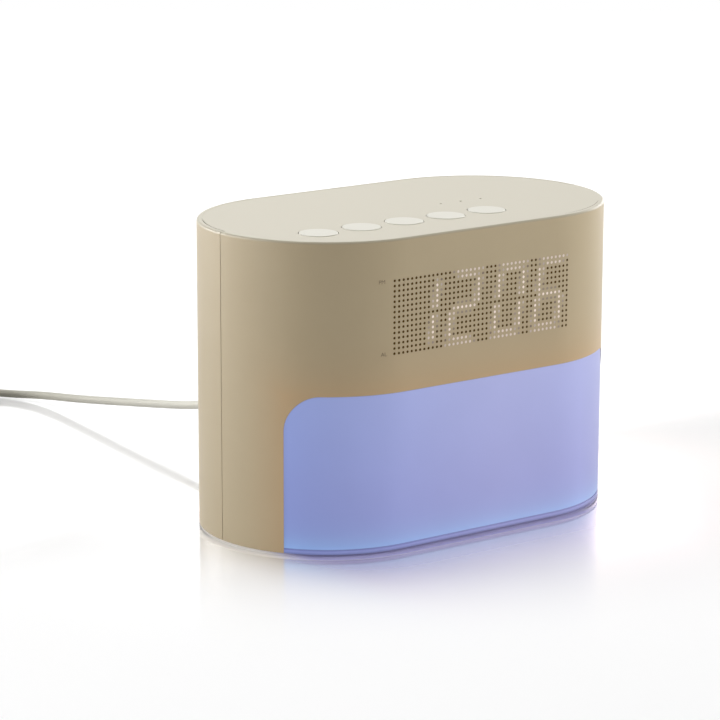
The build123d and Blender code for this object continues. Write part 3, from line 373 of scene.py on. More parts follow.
def mixColours(tree, share, first, second):
    mixed = addNode(tree, "ShaderNodeMix", data_type="RGBA")
    for socket, value in ((mixed.inputs[0], share), (mixed.inputs[6], first), (mixed.inputs[7], second)):
        if isinstance(value, bpy.types.NodeSocket):
            tree.links.new(value, socket)
        else:
            socket.default_value = value
    return mixed.outputs[2]


def span(tree, value, low, high, newLow=0.0, newHigh=1.0, smooth=False):
    # value between low and high becomes newLow to newHigh
    node = addNode(
        tree,
        "ShaderNodeMapRange",
        {"Value": value, "From Min": low, "From Max": high, "To Min": newLow, "To Max": newHigh},
        interpolation_type="SMOOTHSTEP" if smooth else "LINEAR",
    )
    return node.outputs["Result"]


def noise(tree, place, sizeMm, detail=2.0, roughness=0.5):
    node = addNode(
        tree,
        "ShaderNodeTexNoise",
        {"Vector": place, "Scale": 1.0 / (sizeMm * mm), "Detail": detail, "Roughness": roughness},
    )
    return node.outputs["Fac"]


def aroundNoise(tree, value, low, high):
    # most of a noise lies between 0.3 and 0.7, which become low and high
    return span(tree, value, 0.3, 0.7, low, high)


def mathNode(tree, operation, first, second=0.0):
    return addNode(tree, "ShaderNodeMath", {0: first, 1: second}, operation=operation).outputs[0]


def vectorNode(tree, operation, first, second):
    return addNode(tree, "ShaderNodeVectorMath", {0: first, 1: second}, operation=operation).outputs[0]


def scaled(tree, colour, share):
    # colour times a share, which may be a number or worked out by other nodes
    node = addNode(tree, "ShaderNodeVectorMath", {0: colour, "Scale": share}, operation="SCALE")
    return node.outputs[0]


def vectorLength(tree, vector):
    return addNode(tree, "ShaderNodeVectorMath", {0: vector}, operation="LENGTH").outputs["Value"]


def axes(tree, place):
    split = addNode(tree, "ShaderNodeSeparateXYZ", {"Vector": place})
    return split.outputs["X"], split.outputs["Y"], split.outputs["Z"]


def spanMm(tree, value, ends, newLow=0.0, newHigh=1.0):
    # smoothstep between two places in mm
    return span(tree, value, ends[0] * mm, ends[1] * mm, newLow, newHigh, smooth=True)


def grainBump(tree, height, depthMm, strength=1.0):
    node = addNode(
        tree, "ShaderNodeBump", {"Height": height, "Distance": depthMm * mm, "Strength": strength}
    )
    return node.outputs["Normal"]


white = (1.0, 1.0, 1.0, 1.0)

finishes = {
    # slot: colour, roughness, metal, grain size and depth in mm, tone change, coat
    "base_plastic": dict(colour=(176, 166, 146), rough=0.55, grain=0.5, depth=0.04, tone=0.05),
    "foot_rubber": dict(colour=(42, 42, 43), rough=0.8, grain=0.35, depth=0.05, tone=0.2),
    "tray_white": dict(colour=(238, 238, 236), rough=0.45, grain=0.6, depth=0.02, tone=0.03),
    "board_white": dict(colour=(228, 228, 222), rough=0.35, grain=0.4, depth=0.01, tone=0.06),
    "lamp_white": dict(colour=(242, 240, 225), rough=0.25, grain=0.8, depth=0.01, tone=0.05, coat=0.6),
    "display_tint": dict(colour=(52, 40, 30), rough=0.3, grain=0.8, depth=0.01, tone=0.1, coat=0.4),
    "housing_dark": dict(colour=(50, 44, 40), rough=0.6, grain=0.4, depth=0.03, tone=0.15),
    "segment_white": dict(colour=(246, 242, 246), rough=0.4, grain=0.5, depth=0.01, tone=0.04),
    "board_green": dict(colour=(26, 92, 52), rough=0.35, grain=0.5, depth=0.02, tone=0.25, coat=0.5),
    "switch_black": dict(colour=(28, 28, 30), rough=0.5, grain=0.4, depth=0.02, tone=0.2),
    "plunger_cream": dict(colour=(206, 196, 170), rough=0.45, grain=0.4, depth=0.02, tone=0.05),
    "pipe_clear": dict(colour=(235, 235, 232), rough=0.1, grain=0.8, depth=0.0, tone=0.02, coat=1.0),
    "chip_black": dict(colour=(22, 22, 24), rough=0.55, grain=0.25, depth=0.02, tone=0.3),
    "capacitor_metal": dict(colour=(195, 197, 200), rough=0.3, metal=1.0, grain=0.3, depth=0.01, tone=0.08),
    "socket_white": dict(colour=(226, 222, 208), rough=0.45, grain=0.4, depth=0.02, tone=0.05),
    "steel": dict(colour=(190, 192, 195), rough=0.28, metal=1.0, grain=0.2, depth=0.01, tone=0.1),
    "ribbon_grey": dict(colour=(165, 165, 170), rough=0.5, grain=0.5, depth=0.02, tone=0.08),
    "wire_red": dict(colour=(150, 34, 30), rough=0.5, grain=0.5, depth=0.02, tone=0.1),
    "speaker_steel": dict(colour=(120, 121, 124), rough=0.35, metal=1.0, grain=0.4, depth=0.01, tone=0.1),
    "magnet_metal": dict(colour=(64, 64, 67), rough=0.6, metal=0.6, grain=0.3, depth=0.04, tone=0.25),
    "cone_black": dict(colour=(30, 30, 32), rough=0.8, grain=0.3, depth=0.05, tone=0.3),
    "gasket_foam": dict(colour=(36, 36, 37), rough=0.95, grain=0.3, depth=0.12, tone=0.35),
    "plug_white": dict(colour=(214, 211, 201), rough=0.42, grain=0.35, depth=0.03, tone=0.04),
}


plasticShares = {
    "slowSize": 14.0,  # size of the slow noise, times the grain
    "lighter": 0.6,  # share of the tone change that goes to the lighter side
    "rougher": (0.9, 1.12),  # range of the roughness
    "coatRoughness": 0.15,
    "bump": 0.6,
}


def plasticFinish(name, spec, shares):
    # base colour varied by a slow noise, a fine noise in the bump and in the roughness
    material, tree, place = startMaterial(name)
    colour = linearColour(*spec["colour"])
    darker = toned(colour, 1.0 - spec["tone"])
    lighter = toned(colour, 1.0 + spec["tone"] * shares["lighter"])
    smoother, rougher = (min(1.0, spec["rough"] * share) for share in shares["rougher"])
    slow = noise(tree, place, spec["grain"] * shares["slowSize"], 3.0)
    fine = noise(tree, place, spec["grain"], 3.0, 0.6)
    closeSurface(
        tree,
        {
            "Base Color": mixColours(tree, slow, darker, lighter),
            "Roughness": aroundNoise(tree, fine, smoother, rougher),
            "Metallic": spec.get("metal", 0.0),
            "Coat Weight": spec.get("coat", 0.0),
            "Coat Roughness": shares["coatRoughness"],
            "Normal": grainBump(tree, fine, spec["depth"], shares["bump"]),
        },
    )
    return material


casePaintLook = {
    "colour": (167, 152, 123),
    # painted light: the paint beside the lit window takes this warmer colour
    "windowLightColour": (184, 148, 104),
    "roughness": 0.5,
    "innerGloss": 0.0,
    "coat": 1.0,
    "coatRoughness": 0.42,
    "grainSize": 0.35,  # mm
    "grainDepth": 0.012,
    "blotchSize": 18.0,
    "windowLightReach": 9.0,  # mm that the painted light of the lit window carries over the paint
    "windowLightShare": 0.5,
    "windowLightDepth": (-20.0, -8.0),  # y in mm over which that light ends towards the back
    "topSheenColour": (163, 156, 135),  # painted sheen: the level top is painted more neutral, standing in for the white light it reflects
    "topSheenBlend": (1.2, 0.1),  # mm below the top
    # painted shade on the fillet round the top
    "rimShadeTone": 0.84,
    "rimShadeFrom": (1.1, 0.7),  # mm below the top where the painted shade on the rim starts and ends
    "rimShadeTo": (0.12, 0.03),
    "blotchTones": ((0.97, 0.965, 0.955), (1.02, 1.02, 1.02)),
    "rougher": (0.94, 1.06),  # range of the roughness, as a share
    "bump": 0.5,
}
buttonPaintLook = {**casePaintLook, "colour": (184, 181, 168)}


def windowNearness(tree, place, look):
    # share of the painted window light: exp(-distance / reach) from the window's edge along the wall, arc
    # past its side, rise past its top
    x, y, z = axes(tree, place)
    past = mathNode(tree, "SUBTRACT", mathNode(tree, "ABSOLUTE", x), caseShape["halfStraight"] * mm)
    turn = mathNode(tree, "ARCSINE", mathNode(tree, "DIVIDE", past, caseShape["radius"] * mm))
    edgeTurn = math.radians(90.0 - caseShape["windowWrap"])
    aside = mathNode(tree, "MULTIPLY", mathNode(tree, "SUBTRACT", turn, edgeTurn), caseShape["radius"])
    aside = mathNode(tree, "MAXIMUM", aside, 0.0)
    above = mathNode(tree, "SUBTRACT", mathNode(tree, "DIVIDE", z, mm), caseShape["windowTop"])
    above = mathNode(tree, "MAXIMUM", above, 0.0)
    flat = addNode(tree, "ShaderNodeCombineXYZ", {"X": aside, "Y": above, "Z": 0.0})
    away = vectorLength(tree, flat.outputs[0])
    near = mathNode(tree, "EXPONENT", mathNode(tree, "DIVIDE", away, -look["windowLightReach"]))
    front, back = look["windowLightDepth"]
    return mathNode(tree, "MULTIPLY", near, span(tree, y, front * mm, back * mm, 1.0, 0.0))


def belowTop(tree, height, ends, newLow=0.0, newHigh=1.0):
    # smoothstep between two distances below the top
    return spanMm(tree, height, [caseShape["top"] - end for end in ends], newLow, newHigh)


def shellLightAndShade(tree, place, base, look):
    # painted light and shade: the top in a more neutral colour for a painted sheen, a painted shade on the
    # rim round it, and painted light beside the lit window
    height = axes(tree, place)[2]
    # painted sheen on the level top
    base = mixColours(tree, belowTop(tree, height, look["topSheenBlend"]), base, linearColour(*look["topSheenColour"]))
    # painted shade on the rim round the top
    rimShade = belowTop(tree, height, look["rimShadeFrom"])
    rimShade = mathNode(tree, "MULTIPLY", rimShade, belowTop(tree, height, look["rimShadeTo"], 1.0, 0.0))
    rimShade = mathNode(tree, "MULTIPLY", rimShade, look["rimShadeTone"] - 1.0)
    base = scaled(tree, base, mathNode(tree, "ADD", rimShade, 1.0))
    # painted light beside the lit window
    share = mathNode(tree, "MULTIPLY", windowNearness(tree, place, look), look["windowLightShare"])
    return mixColours(tree, share, base, linearColour(*look["windowLightColour"]))


def casePaint(name, look, paintedLight=True):
    # champagne satin paint: slow blotches and a sparkle-fine grain, with painted light and shade on the
    # shells where its flag is set: sheen on the top, shade on its rim, light beside the window
    material, tree, place = startMaterial(name)
    colour = linearColour(*look["colour"])
    darker, lighter = (toned(colour, tones) for tones in look["blotchTones"])
    smoother, rougher = (look["roughness"] * share for share in look["rougher"])
    blotch = noise(tree, place, look["blotchSize"], 2.0)
    fine = noise(tree, place, look["grainSize"], 2.0, 0.6)
    base = mixColours(tree, blotch, darker, lighter)
    if paintedLight:
        base = shellLightAndShade(tree, place, base, look)
    closeSurface(
        tree,
        {
            "Base Color": base,
            "Roughness": aroundNoise(tree, fine, smoother, rougher),
            "Specular IOR Level": look["innerGloss"],
            "Coat Weight": look["coat"],
            "Coat Roughness": look["coatRoughness"],
            "Normal": grainBump(tree, fine, look["grainDepth"], look["bump"]),
        },
    )
    return material


lensLook = {
    "colour": (168, 173, 219),  # the milky plastic lit by the lamps, at the window's top
    "lowShadeTint": (0.81, 0.78, 0.88),  # painted shade: share of red, green and blue at the foot, the lens painted dimmer towards it
    "leftTint": (0.66, 0.79, 0.94),  # painted shade: share of red, green and blue at the left end, the lens painted dimmer and bluer there
    "footGlow": (0.03, 0.14, 0.16),  # blue light that the foot's edge gathers
    "footReach": 4.6,  # mm over which it fades upwards
    "footTop": 3.2,
    "groove": (2.35, 2.95),  # mm, the shaded groove above the lower edge
    "grooveSoft": (0.2, 0.3),  # mm over which its shade starts and ends
    "grooveShade": 0.82,
    "lip": (0.9, 2.1),  # mm over which the lower edge comes out of the shade
    "lipShade": 0.68,
    "leftX": -78.0,
    "rightX": 10.0,
    "leftPower": 0.6,
    "fallFrom": 52.0,  # mm along the width where the right end's lamps fall off
    "fallTo": 84.0,
    "fallShare": 0.3,
    "bodyShare": 0.5,  # base colour as a share of the shown colour
    "glow": 0.5,
    "cloudSize": 25.0,  # mm
    "cloudTones": (0.97, 1.03),
    "roughness": 0.45,
    "grainSize": 0.5,
    "grainDepth": 0.004,
    "bump": 0.3,
}


def lensTone(tree, place, look):
    # its colour times a painted shade that fades upwards and one that fades from the left end, plus a blue
    # glow exp(-rise / reach) above the groove, times the painted shades of the groove and of the lower lip,
    # and mixed with black towards the right end, a painted shade where the lamps fall off
    x, _, z = axes(tree, place)
    height = mathNode(tree, "DIVIDE", z, mm)
    # painted shade towards the foot
    level = span(tree, height, 0.0, caseShape["windowTop"])
    level = mixColours(tree, level, (*look["lowShadeTint"], 1.0), white)
    tone = vectorNode(tree, "MULTIPLY", linearColour(*look["colour"])[:3], level)
    # painted shade towards the left end
    across = span(tree, x, look["leftX"] * mm, look["rightX"] * mm)
    across = mathNode(tree, "POWER", across, look["leftPower"])
    tone = vectorNode(tree, "MULTIPLY", tone, mixColours(tree, across, (*look["leftTint"], 1.0), white))
    rise = mathNode(tree, "MAXIMUM", mathNode(tree, "SUBTRACT", height, look["footTop"]), 0.0)
    glow = mathNode(tree, "EXPONENT", mathNode(tree, "DIVIDE", rise, -look["footReach"]))
    low, high = look["groove"]
    start, end = look["grooveSoft"]
    glow = mathNode(tree, "MULTIPLY", glow, span(tree, height, high - start, look["footTop"], smooth=True))
    tone = vectorNode(tree, "ADD", tone, scaled(tree, look["footGlow"], glow))
    shade = span(tree, height, low - start, low + start, smooth=True)
    shadeEnd = span(tree, height, high - start, high + end, 1.0, 0.0, smooth=True)
    shade = mathNode(tree, "MULTIPLY", shade, shadeEnd)
    tone = scaled(tree, tone, span(tree, shade, 0.0, 1.0, 1.0, look["grooveShade"]))
    tone = scaled(tree, tone, span(tree, height, *look["lip"], look["lipShade"], 1.0, smooth=True))
    fall = span(tree, x, look["fallFrom"] * mm, look["fallTo"] * mm, 0.0, look["fallShare"])
    return mixColours(tree, fall, tone, (0.0, 0.0, 0.0, 1.0))


def litLens(name, look):
    # milky plastic lit from inside: part of its tone is body colour, part is glow with slow clouds
    material, tree, place = startMaterial(name)
    shown = lensTone(tree, place, look)
    cloud = noise(tree, place, look["cloudSize"], 2.0)
    dim, bright = (look["glow"] * tone for tone in look["cloudTones"])
    fine = noise(tree, place, look["grainSize"], 2.0)
    closeSurface(
        tree,
        {
            "Base Color": scaled(tree, shown, look["bodyShare"]),
            "Roughness": look["roughness"],
            "Emission Color": shown,
            "Emission Strength": aroundNoise(tree, cloud, dim, bright),
            "Normal": grainBump(tree, fine, look["grainDepth"], look["bump"]),
        },
    )
    return material


cordLook = {
    "nearLightColour": (222, 220, 210),  # painted light: lighter close behind the case, where the case shades the cord
    # painted shade: darker farther back, where the lamps light the cord more
    "farShadeColour": (184, 181, 170),
    "nearY": 95.0,  # mm
    "farY": 215.0,
    "handledTone": 0.93,
    "handledSize": 6.0,
    "roughness": (0.52, 0.62),
    "specular": 0.08,
    "grainSize": 0.3,
    "grainDepth": 0.02,
    "bump": 0.5,
}


def cordSheath(name, look):
    # soft sheath: fine grain and faint handling marks, with painted light close behind the case and painted
    # shade farther back
    material, tree, place = startMaterial(name)
    depth = axes(tree, place)[1]
    # painted light near the case, fading to painted shade farther back
    away = span(tree, depth, look["nearY"] * mm, look["farY"] * mm)
    base = mixColours(tree, away, linearColour(*look["nearLightColour"]), linearColour(*look["farShadeColour"]))
    darker = scaled(tree, base, look["handledTone"])
    fine = noise(tree, place, look["grainSize"], 3.0)
    closeSurface(
        tree,
        {
            "Base Color": mixColours(tree, noise(tree, place, look["handledSize"]), darker, base),
            "Roughness": aroundNoise(tree, fine, *look["roughness"]),
            "Specular IOR Level": look["specular"],
            "Normal": grainBump(tree, fine, look["grainDepth"], look["bump"]),
        },
    )
    return material


tieLook = {
    "colour": (205, 202, 190),
    "darkTone": 0.7,
    "weaveScale": 320.0,
    "distortion": 1.5,
    "roughness": 0.9,
    "sheen": 0.4,
    "weaveDepth": 0.15,  # mm
    "bump": 0.7,
}


def hookTape(name, look):
    # woven tape: the product of two crossed waves is its weave, in tone and in height
    material, tree, place = startMaterial(name)
    base = linearColour(*look["colour"])
    darker = toned(base, look["darkTone"])
    waves = [
        addNode(
            tree,
            "ShaderNodeTexWave",
            {"Vector": place, "Scale": look["weaveScale"], "Distortion": look["distortion"]},
            bands_direction=direction,
        ).outputs["Fac"]
        for direction in ("Z", "DIAGONAL")
    ]
    weave = mathNode(tree, "MULTIPLY", *waves)
    closeSurface(
        tree,
        {
            "Base Color": mixColours(tree, weave, darker, base),
            "Roughness": look["roughness"],
            "Sheen Weight": look["sheen"],
            "Normal": grainBump(tree, weave, look["weaveDepth"], look["bump"]),
        },
    )
    return material


materials = {slot: plasticFinish(slot, spec, plasticShares) for slot, spec in finishes.items()}
materials["case_plastic"] = casePaint("case_plastic", casePaintLook)
materials["button_plastic"] = casePaint("button_plastic", buttonPaintLook, paintedLight=False)
materials["milky_lens"] = litLens("milky_lens", lensLook)
materials["cord_white"] = cordSheath("cord_white", cordLook)
materials["tie_cloth"] = hookTape("tie_cloth", tieLook)

slotOfNode = {row["node"]: row["material_slot"] for row in frame["record"]["subparts"]}
for name, piece in nodes.items():
    if not piece.material_slots:
        piece.data.materials.append(None)
    for spot in piece.material_slots:
        spot.material = materials[slotOfNode[name]]
powerLead.data.materials.append(materials["cord_white"])
for piece in (plugBody, plugRelief, usbRelief):
    piece.data.materials.append(materials["plug_white"])
usbWindows.data.materials.append(materials["chip_black"])
print("finishes on", len(nodes), "nodes")


def wallDepth(x, proud=0.0):
    # front wall: straight between the end arcs, a circle beyond them
    overhang = np.maximum(0.0, np.abs(x) - caseShape["halfStraight"])
    return -np.sqrt((caseShape["radius"] + proud) ** 2 - overhang**2)


def makePiece(name, points, faces, material):
    # a piece that moves with the case
    piece = meshObject(name, points, faces)
    piece.data.materials.append(material)
    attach(piece, "case")
    return piece


# display dots
display = {
    "columns": 43,
    "rows": 15,
    "pitch": 2.0,  # mm
    "middleZ": 92.0,
    "dotDiameter": 1.08,
    "dotSides": 10,
    "dotRecess": 0.07,
    "dotDepth": 0.5,
    "digitHeight": 29.0,
    "digitWidth": 14.7,
    "barWidth": 3.1,
    "barGap": 0.5,
    "slant": 9.0,  # degrees
    "digitX": (-29.0, -9.0, 13.0, 33.0),
    "digits": ("1", "2", "0", "6"),
    "softness": 1.9,  # mm over which a bar's edge fades
    "speckSize": 0.4,
    "dotRoughness": 0.5,
    "dotSpecular": 0.1,
    "dotDome": 0.06,  # mm that a plug's middle stands out
    "darkColours": ((70, 50, 22), (88, 66, 34)),
    "litColour": (192, 180, 170),
    "glowColour": (240, 225, 222),
    "glow": 0.36,
}
barsOfDigit = {
    # T top, M middle, B bottom, L left high, l left low, R right high, r right low
    "0": "TBLlRr",
    "1": "Rr",
    "2": "TMBlR",
    "6": "TMBLlr",
}


def barGlow(x, z, spec):
    # 1 inside a bar of a shown digit and 0 outside, fading evenly across its edge over the softness
    side = (spec["digitWidth"] - spec["barWidth"]) / 2
    rise = (spec["digitHeight"] - spec["barWidth"]) / 2
    long = rise / 2 - spec["barGap"] / 2
    # place across and up, half length, upright or not, and which way is out (0 for bars pointed at both ends)
    places = {
        "T": (0, rise, side, False, 1),
        "M": (0, 0, side - spec["barGap"] / 2, False, 0),
        "B": (0, -rise, side, False, -1),
        "L": (-side, rise / 2, long, True, 0),
        "l": (-side, -rise / 2, long, True, 0),
        "R": (side, rise / 2, long, True, 0),
        "r": (side, -rise / 2, long, True, 0),
    }
    lean = math.tan(math.radians(spec["slant"]))
    glow = np.zeros_like(x)
    for centre, digit in zip(spec["digitX"], spec["digits"]):
        for bar in barsOfDigit[digit]:
            barX, barZ, half, upright, outward = places[bar]
            across = x - centre - z * lean - barX
            along = z - barZ
            if not upright:
                across, along = along, across
            # distance past the sides and past the ends, which are mitred outwards or pointed
            taper = -across * outward if outward else np.abs(across)
            past = np.maximum(np.abs(across) - spec["barWidth"] / 2, np.abs(along) + taper - half)
            glow = np.maximum(glow, np.clip(0.5 - past / spec["softness"], 0.0, 1.0))
    return glow


def dotMaterial(name, spec):
    # tinted plug: dark when unlit, milky white with its glow when a bar is behind it
    material, tree, place = startMaterial(name)
    lit = addNode(tree, "ShaderNodeAttribute", attribute_name="glow").outputs["Fac"]
    speck = noise(tree, place, spec["speckSize"], 2.0)
    dark = mixColours(tree, speck, *(linearColour(*colour) for colour in spec["darkColours"]))
    base = mixColours(tree, lit, dark, linearColour(*spec["litColour"]))
    closeSurface(
        tree,
        {
            "Base Color": base,
            "Roughness": spec["dotRoughness"],
            "Specular IOR Level": spec["dotSpecular"],
            "Emission Color": linearColour(*spec["glowColour"]),
            "Emission Strength": span(tree, lit, 0.0, 1.0, 0.0, spec["glow"]),
        },
    )
    return material


def makeDots(spec):
    # every plug is the same short drum, carried to its hole
    columns = (np.arange(spec["columns"]) - (spec["columns"] - 1) / 2) * spec["pitch"]
    rows = (np.arange(spec["rows"]) - (spec["rows"] - 1) / 2) * spec["pitch"]
    holeX, holeZ = (grid.ravel() for grid in np.meshgrid(columns, rows))
    sides = spec["dotSides"]
    turn = np.arange(sides) / sides * 2 * math.pi
    ring = np.column_stack((np.cos(turn), np.zeros(sides), np.sin(turn))) * spec["dotDiameter"] / 2
    frontY = spec["dotRecess"]
    rearY = spec["dotRecess"] + spec["dotDepth"]
    front = ring + (0, frontY, 0)
    rear = ring + (0, rearY, 0)
    tips = np.array(((0, frontY - spec["dotDome"], 0), (0, rearY, 0)))
    drum = np.vstack((front, rear, tips))
    places = np.column_stack((holeX, wallDepth(holeX), holeZ + spec["middleZ"]))
    points = (places[:, None, :] + drum[None]).reshape(-1, 3)
    index = np.arange(sides)
    after = (index + 1) % sides
    wall = np.column_stack((index, index + sides, after + sides, after))
    frontFan = np.column_stack((index, after, np.full(sides, 2 * sides)))
    rearFan = np.column_stack((after + sides, index + sides, np.full(sides, 2 * sides + 1)))
    shift = np.arange(len(holeX))[:, None, None] * len(drum)
    quads = (wall[None] + shift).reshape(-1, 4).tolist()
    fans = (np.vstack((frontFan, rearFan))[None] + shift).reshape(-1, 3).tolist()
    look = dotMaterial("display_dots", spec)
    piece = makePiece("displayDots", points, quads + fans, look)
    glow = np.repeat(barGlow(holeX, holeZ, spec), len(drum))
    piece.data.attributes.new("glow", "FLOAT", "POINT").data.foreach_set("value", glow.astype(np.float32))


makeDots(display)
print("display dots:", display["columns"] * display["rows"])

# printed marks
marks = {
    "texts": (("PM", -47.35, 105.9, 1.5), ("AL", -46.5, 78.1, 1.5)),  # letters, x, z, height in mm
    "colour": (108, 94, 74),
    "proud": 0.02,  # mm
    "capShare": 0.7,  # a capital's height as a share of the type size
}


def inkMaterial(name, colour):
    # matt print: its colour and a fifth lighter, mixed by a fine noise
    material, tree, place = startMaterial(name)
    base = linearColour(*colour)
    lighter = toned(base, 1.2)
    closeSurface(
        tree,
        {"Base Color": mixColours(tree, noise(tree, place, 0.3), base, lighter), "Roughness": 0.6},
    )
    return material


def makeMark(text, x, z, height, ink):
    # flat letters laid on the front wall's curve
    curve = bpy.data.curves.new("mark" + text, "FONT")
    curve.body = text
    curve.size = height * mm / marks["capShare"]
    curve.align_x = "CENTER"
    curve.align_y = "CENTER"
    curve.resolution_u = 3
    holder = linked("markHolder", curve)
    bpy.context.view_layer.update()
    flat = bpy.data.meshes.new_from_object(holder.evaluated_get(bpy.context.evaluated_depsgraph_get()))
    bpy.data.objects.remove(holder)
    points = np.zeros(len(flat.vertices) * 3)
    flat.vertices.foreach_get("co", points)
    points = points.reshape(-1, 3) / mm
    faces = [tuple(face.vertices) for face in flat.polygons]
    bpy.data.meshes.remove(flat)
    across = points[:, 0] + x
    wrapped = np.column_stack((across, wallDepth(across, marks["proud"]), points[:, 1] + z))
    makePiece("mark" + text, wrapped, faces, ink)


ink = inkMaterial("mark_ink", marks["colour"])
for markRow in marks["texts"]:
    makeMark(*markRow, ink)
print("marks printed")

# joint round the top plate: a seal in the groove behind it and a hairline at the right front
lidJoint = {
    "groove": (48.12, 48.53),  # inner and outer radius, mm
    "sealFrom": 20.0,  # degrees past each end where the seal starts
    "sealRise": 14.0,  # degrees over which it comes up
    "sealDeep": 1.2,
    "sealShallow": 0.06,
    "hairline": (48.14, 48.42),
    "hairlineTurn": (-44.0, -84.0),
    "hairlineRise": 0.012,
    "steps": 64,
    "hairlineColour": (96, 85, 68),
}


def ribbonPiece(name, inner, outer, heights, material):
    # two edges with the same number of stations, joined by quads that face up
    count = len(inner)
    points = np.vstack((np.column_stack((inner, heights)), np.column_stack((outer, heights))))
    index = np.arange(count - 1)
    quads = np.column_stack((index, index + 1, index + 1 + count, index + count))
    first, second, last = (points[quads[0][corner]] for corner in (0, 1, 3))
    if np.cross(second - first, last - first)[2] < 0:
        quads = quads[:, ::-1]
    makePiece(name, points, quads.tolist(), material)


def makeSeal(spec):
    # the rear half of the outline, left end to right end, coming up by a smoothstep past both ends
    turn = np.radians(np.linspace(spec["sealFrom"], 90.0, spec["steps"]))
    half = caseShape["halfStraight"]
    edges = []
    for radius in spec["groove"]:
        left = np.column_stack((-half - radius * np.cos(turn), radius * np.sin(turn)))
        right = np.column_stack((half + radius * np.cos(turn[::-1]), radius * np.sin(turn[::-1])))
        edges.append(np.vstack((left, right)))
    share = smoothStep((np.degrees(turn) - spec["sealFrom"]) / spec["sealRise"])
    deep = spec["sealDeep"] + (spec["sealShallow"] - spec["sealDeep"]) * share
    heights = caseShape["top"] - np.concatenate((deep, deep[::-1]))
    ribbonPiece("lidSeal", *edges, heights, materials["case_plastic"])


def makeHairline(spec):
    # an arc at the right end whose width runs out at both of its ends by a sine
    turn = np.radians(np.linspace(*spec["hairlineTurn"], spec["steps"]))
    inner, outer = spec["hairline"]
    middle, reach = (inner + outer) / 2, (outer - inner) / 2
    width = reach * np.minimum(1.0, 2.0 * np.sin(np.linspace(0.02, 0.98, spec["steps"]) * math.pi))
    half = caseShape["halfStraight"]
    edges = []
    for radius in (middle - width, middle + width):
        edges.append(np.column_stack((half + radius * np.cos(turn), radius * np.sin(turn))))
    heights = np.full(spec["steps"], caseShape["top"] + spec["hairlineRise"])
    ribbonPiece("lidHairline", *edges, heights, inkMaterial("lid_hairline", spec["hairlineColour"]))


makeSeal(lidJoint)
makeHairline(lidJoint)
print("top plate's joint drawn")

# floor, world and lamps
studio = {
    "floorSize": 12.0,  # m
    "floorColour": (203, 203, 203),
    "floorLift": 0.36,
    "mirrorRoughness": 0.1,
    "mirrorShare": 0.88,
    "mirrorReach": 43.0,  # mm over which the table's mirror image fades
    "mirrorFade": 1.5,
    "mirrorLeft": 0.55,
    "mirrorBehind": 0.3,
    "mirrorRight": 0.8,  # what is left of it at the right end
    "mirrorTintLeft": (0.78, 0.79, 0.82),
    "mirrorTintFront": ((1.0, 0.76, 0.8), (1.0, 0.87, 0.86)),  # at the window's left edge, at the middle
    "contactReach": 17.0,  # mm over which the image is darker beside the foot, a painted contact shadow
    "contactShade": 0.84,
    "paintedFootBand": (2.5, 4.5),  # mm from the outline where the band of painted light and shade gives way to the image
    # painted light and shade under the case and in the band beside it, as lift and tint: left end, front,
    # right end; lifts below 1 are a painted shadow, above 1 painted light, and the blue tints painted light
    # from the lit window
    "underLift": (1.4, 0.35, 1.4),
    "bandLift": (0.5, 0.14, 0.8),
    "bandSlant": 0.39,  # the band lies before the line y = -slant * x
    "footLightTint": ((1.0, 0.96, 0.91), (0.68, 0.64, 1.0), (0.74, 0.72, 1.0)),
    "bandCover": 0.82,  # share of the image that the band hides
    "bandFacing": (-31.0, -19.0),  # mm from that line over which it ends
    "underEdge": (-0.6, 0.3),  # mm from the outline
    "frontX": (-84.0, -70.0),  # mm, left end to front
    "rightEndX": (58.0, 76.0),
    "imageLeftX": (-110.0, -60.0),
    "imageRightX": (58.0, 84.0),
    "imageTintX": (-74.0, -34.0),
    "behindY": (20.0, 70.0),
    "clearFrom": 0.28,  # m from the middle where the floor starts to turn plain white
    "clearTo": 0.8,
    "worldStrength": 0.03,
    "lamps": (
        # name, place, size, watts, and whether it gives matt light or gloss
        ("keyLamp", (-0.45, 0.8, 1.3), 0.7, 8.8, "matt"),
        ("topLamp", (0.0, -0.1, 1.8), 2.0, 15.0, "matt"),
        ("rightLamp", (1.1, -0.9, 0.35), 0.8, 20.0, "matt"),
        ("leftLamp", (-1.3, 0.1, 0.35), 0.9, 11.5, "matt"),
        ("leftScreen", (-1.3, 0.6, 0.35), 1.1, 10.0, "gloss"),
        ("leftRearScreen", (-0.75, 1.25, 0.35), 1.1, 29.0, "gloss"),
        ("highScreen", (0.4, 0.8, 1.1), 1.2, 6.0, "gloss"),
        ("backScreen", (0.87, 1.18, 0.5), 1.4, 3.6, "gloss"),
        ("rightScreen", (1.2, 0.3, 0.35), 0.9, 9.0, "gloss"),
    ),
    "aim": (0.0, 0.0, 0.06),
}


def rayIsSeen(tree, path):
    # 1 for camera, glossy and transmission rays
    seen = mathNode(tree, "MAXIMUM", path.outputs["Is Camera Ray"], path.outputs["Is Glossy Ray"])
    return mathNode(tree, "MAXIMUM", seen, path.outputs["Is Transmission Ray"])


def outlineDistance(tree, x, y):
    # signed distance from the case's outline: length past the straight part, less the end radius
    past = mathNode(tree, "SUBTRACT", mathNode(tree, "ABSOLUTE", x), caseShape["halfStraight"] * mm)
    past = mathNode(tree, "MAXIMUM", past, 0.0)
    flat = addNode(tree, "ShaderNodeCombineXYZ", {"X": past, "Y": y, "Z": 0.0})
    return mathNode(tree, "SUBTRACT", vectorLength(tree, flat.outputs[0]), caseShape["radius"] * mm)


def byPlace(tree, front, rightEnd, values):
    # first value at the left end, second at the front, third at the right end
    toRight = span(tree, rightEnd, 0.0, 1.0, values[1], values[2])
    node = addNode(tree, "ShaderNodeMapRange", {"Value": front, "To Min": values[0], "To Max": toRight})
    return node.outputs["Result"]


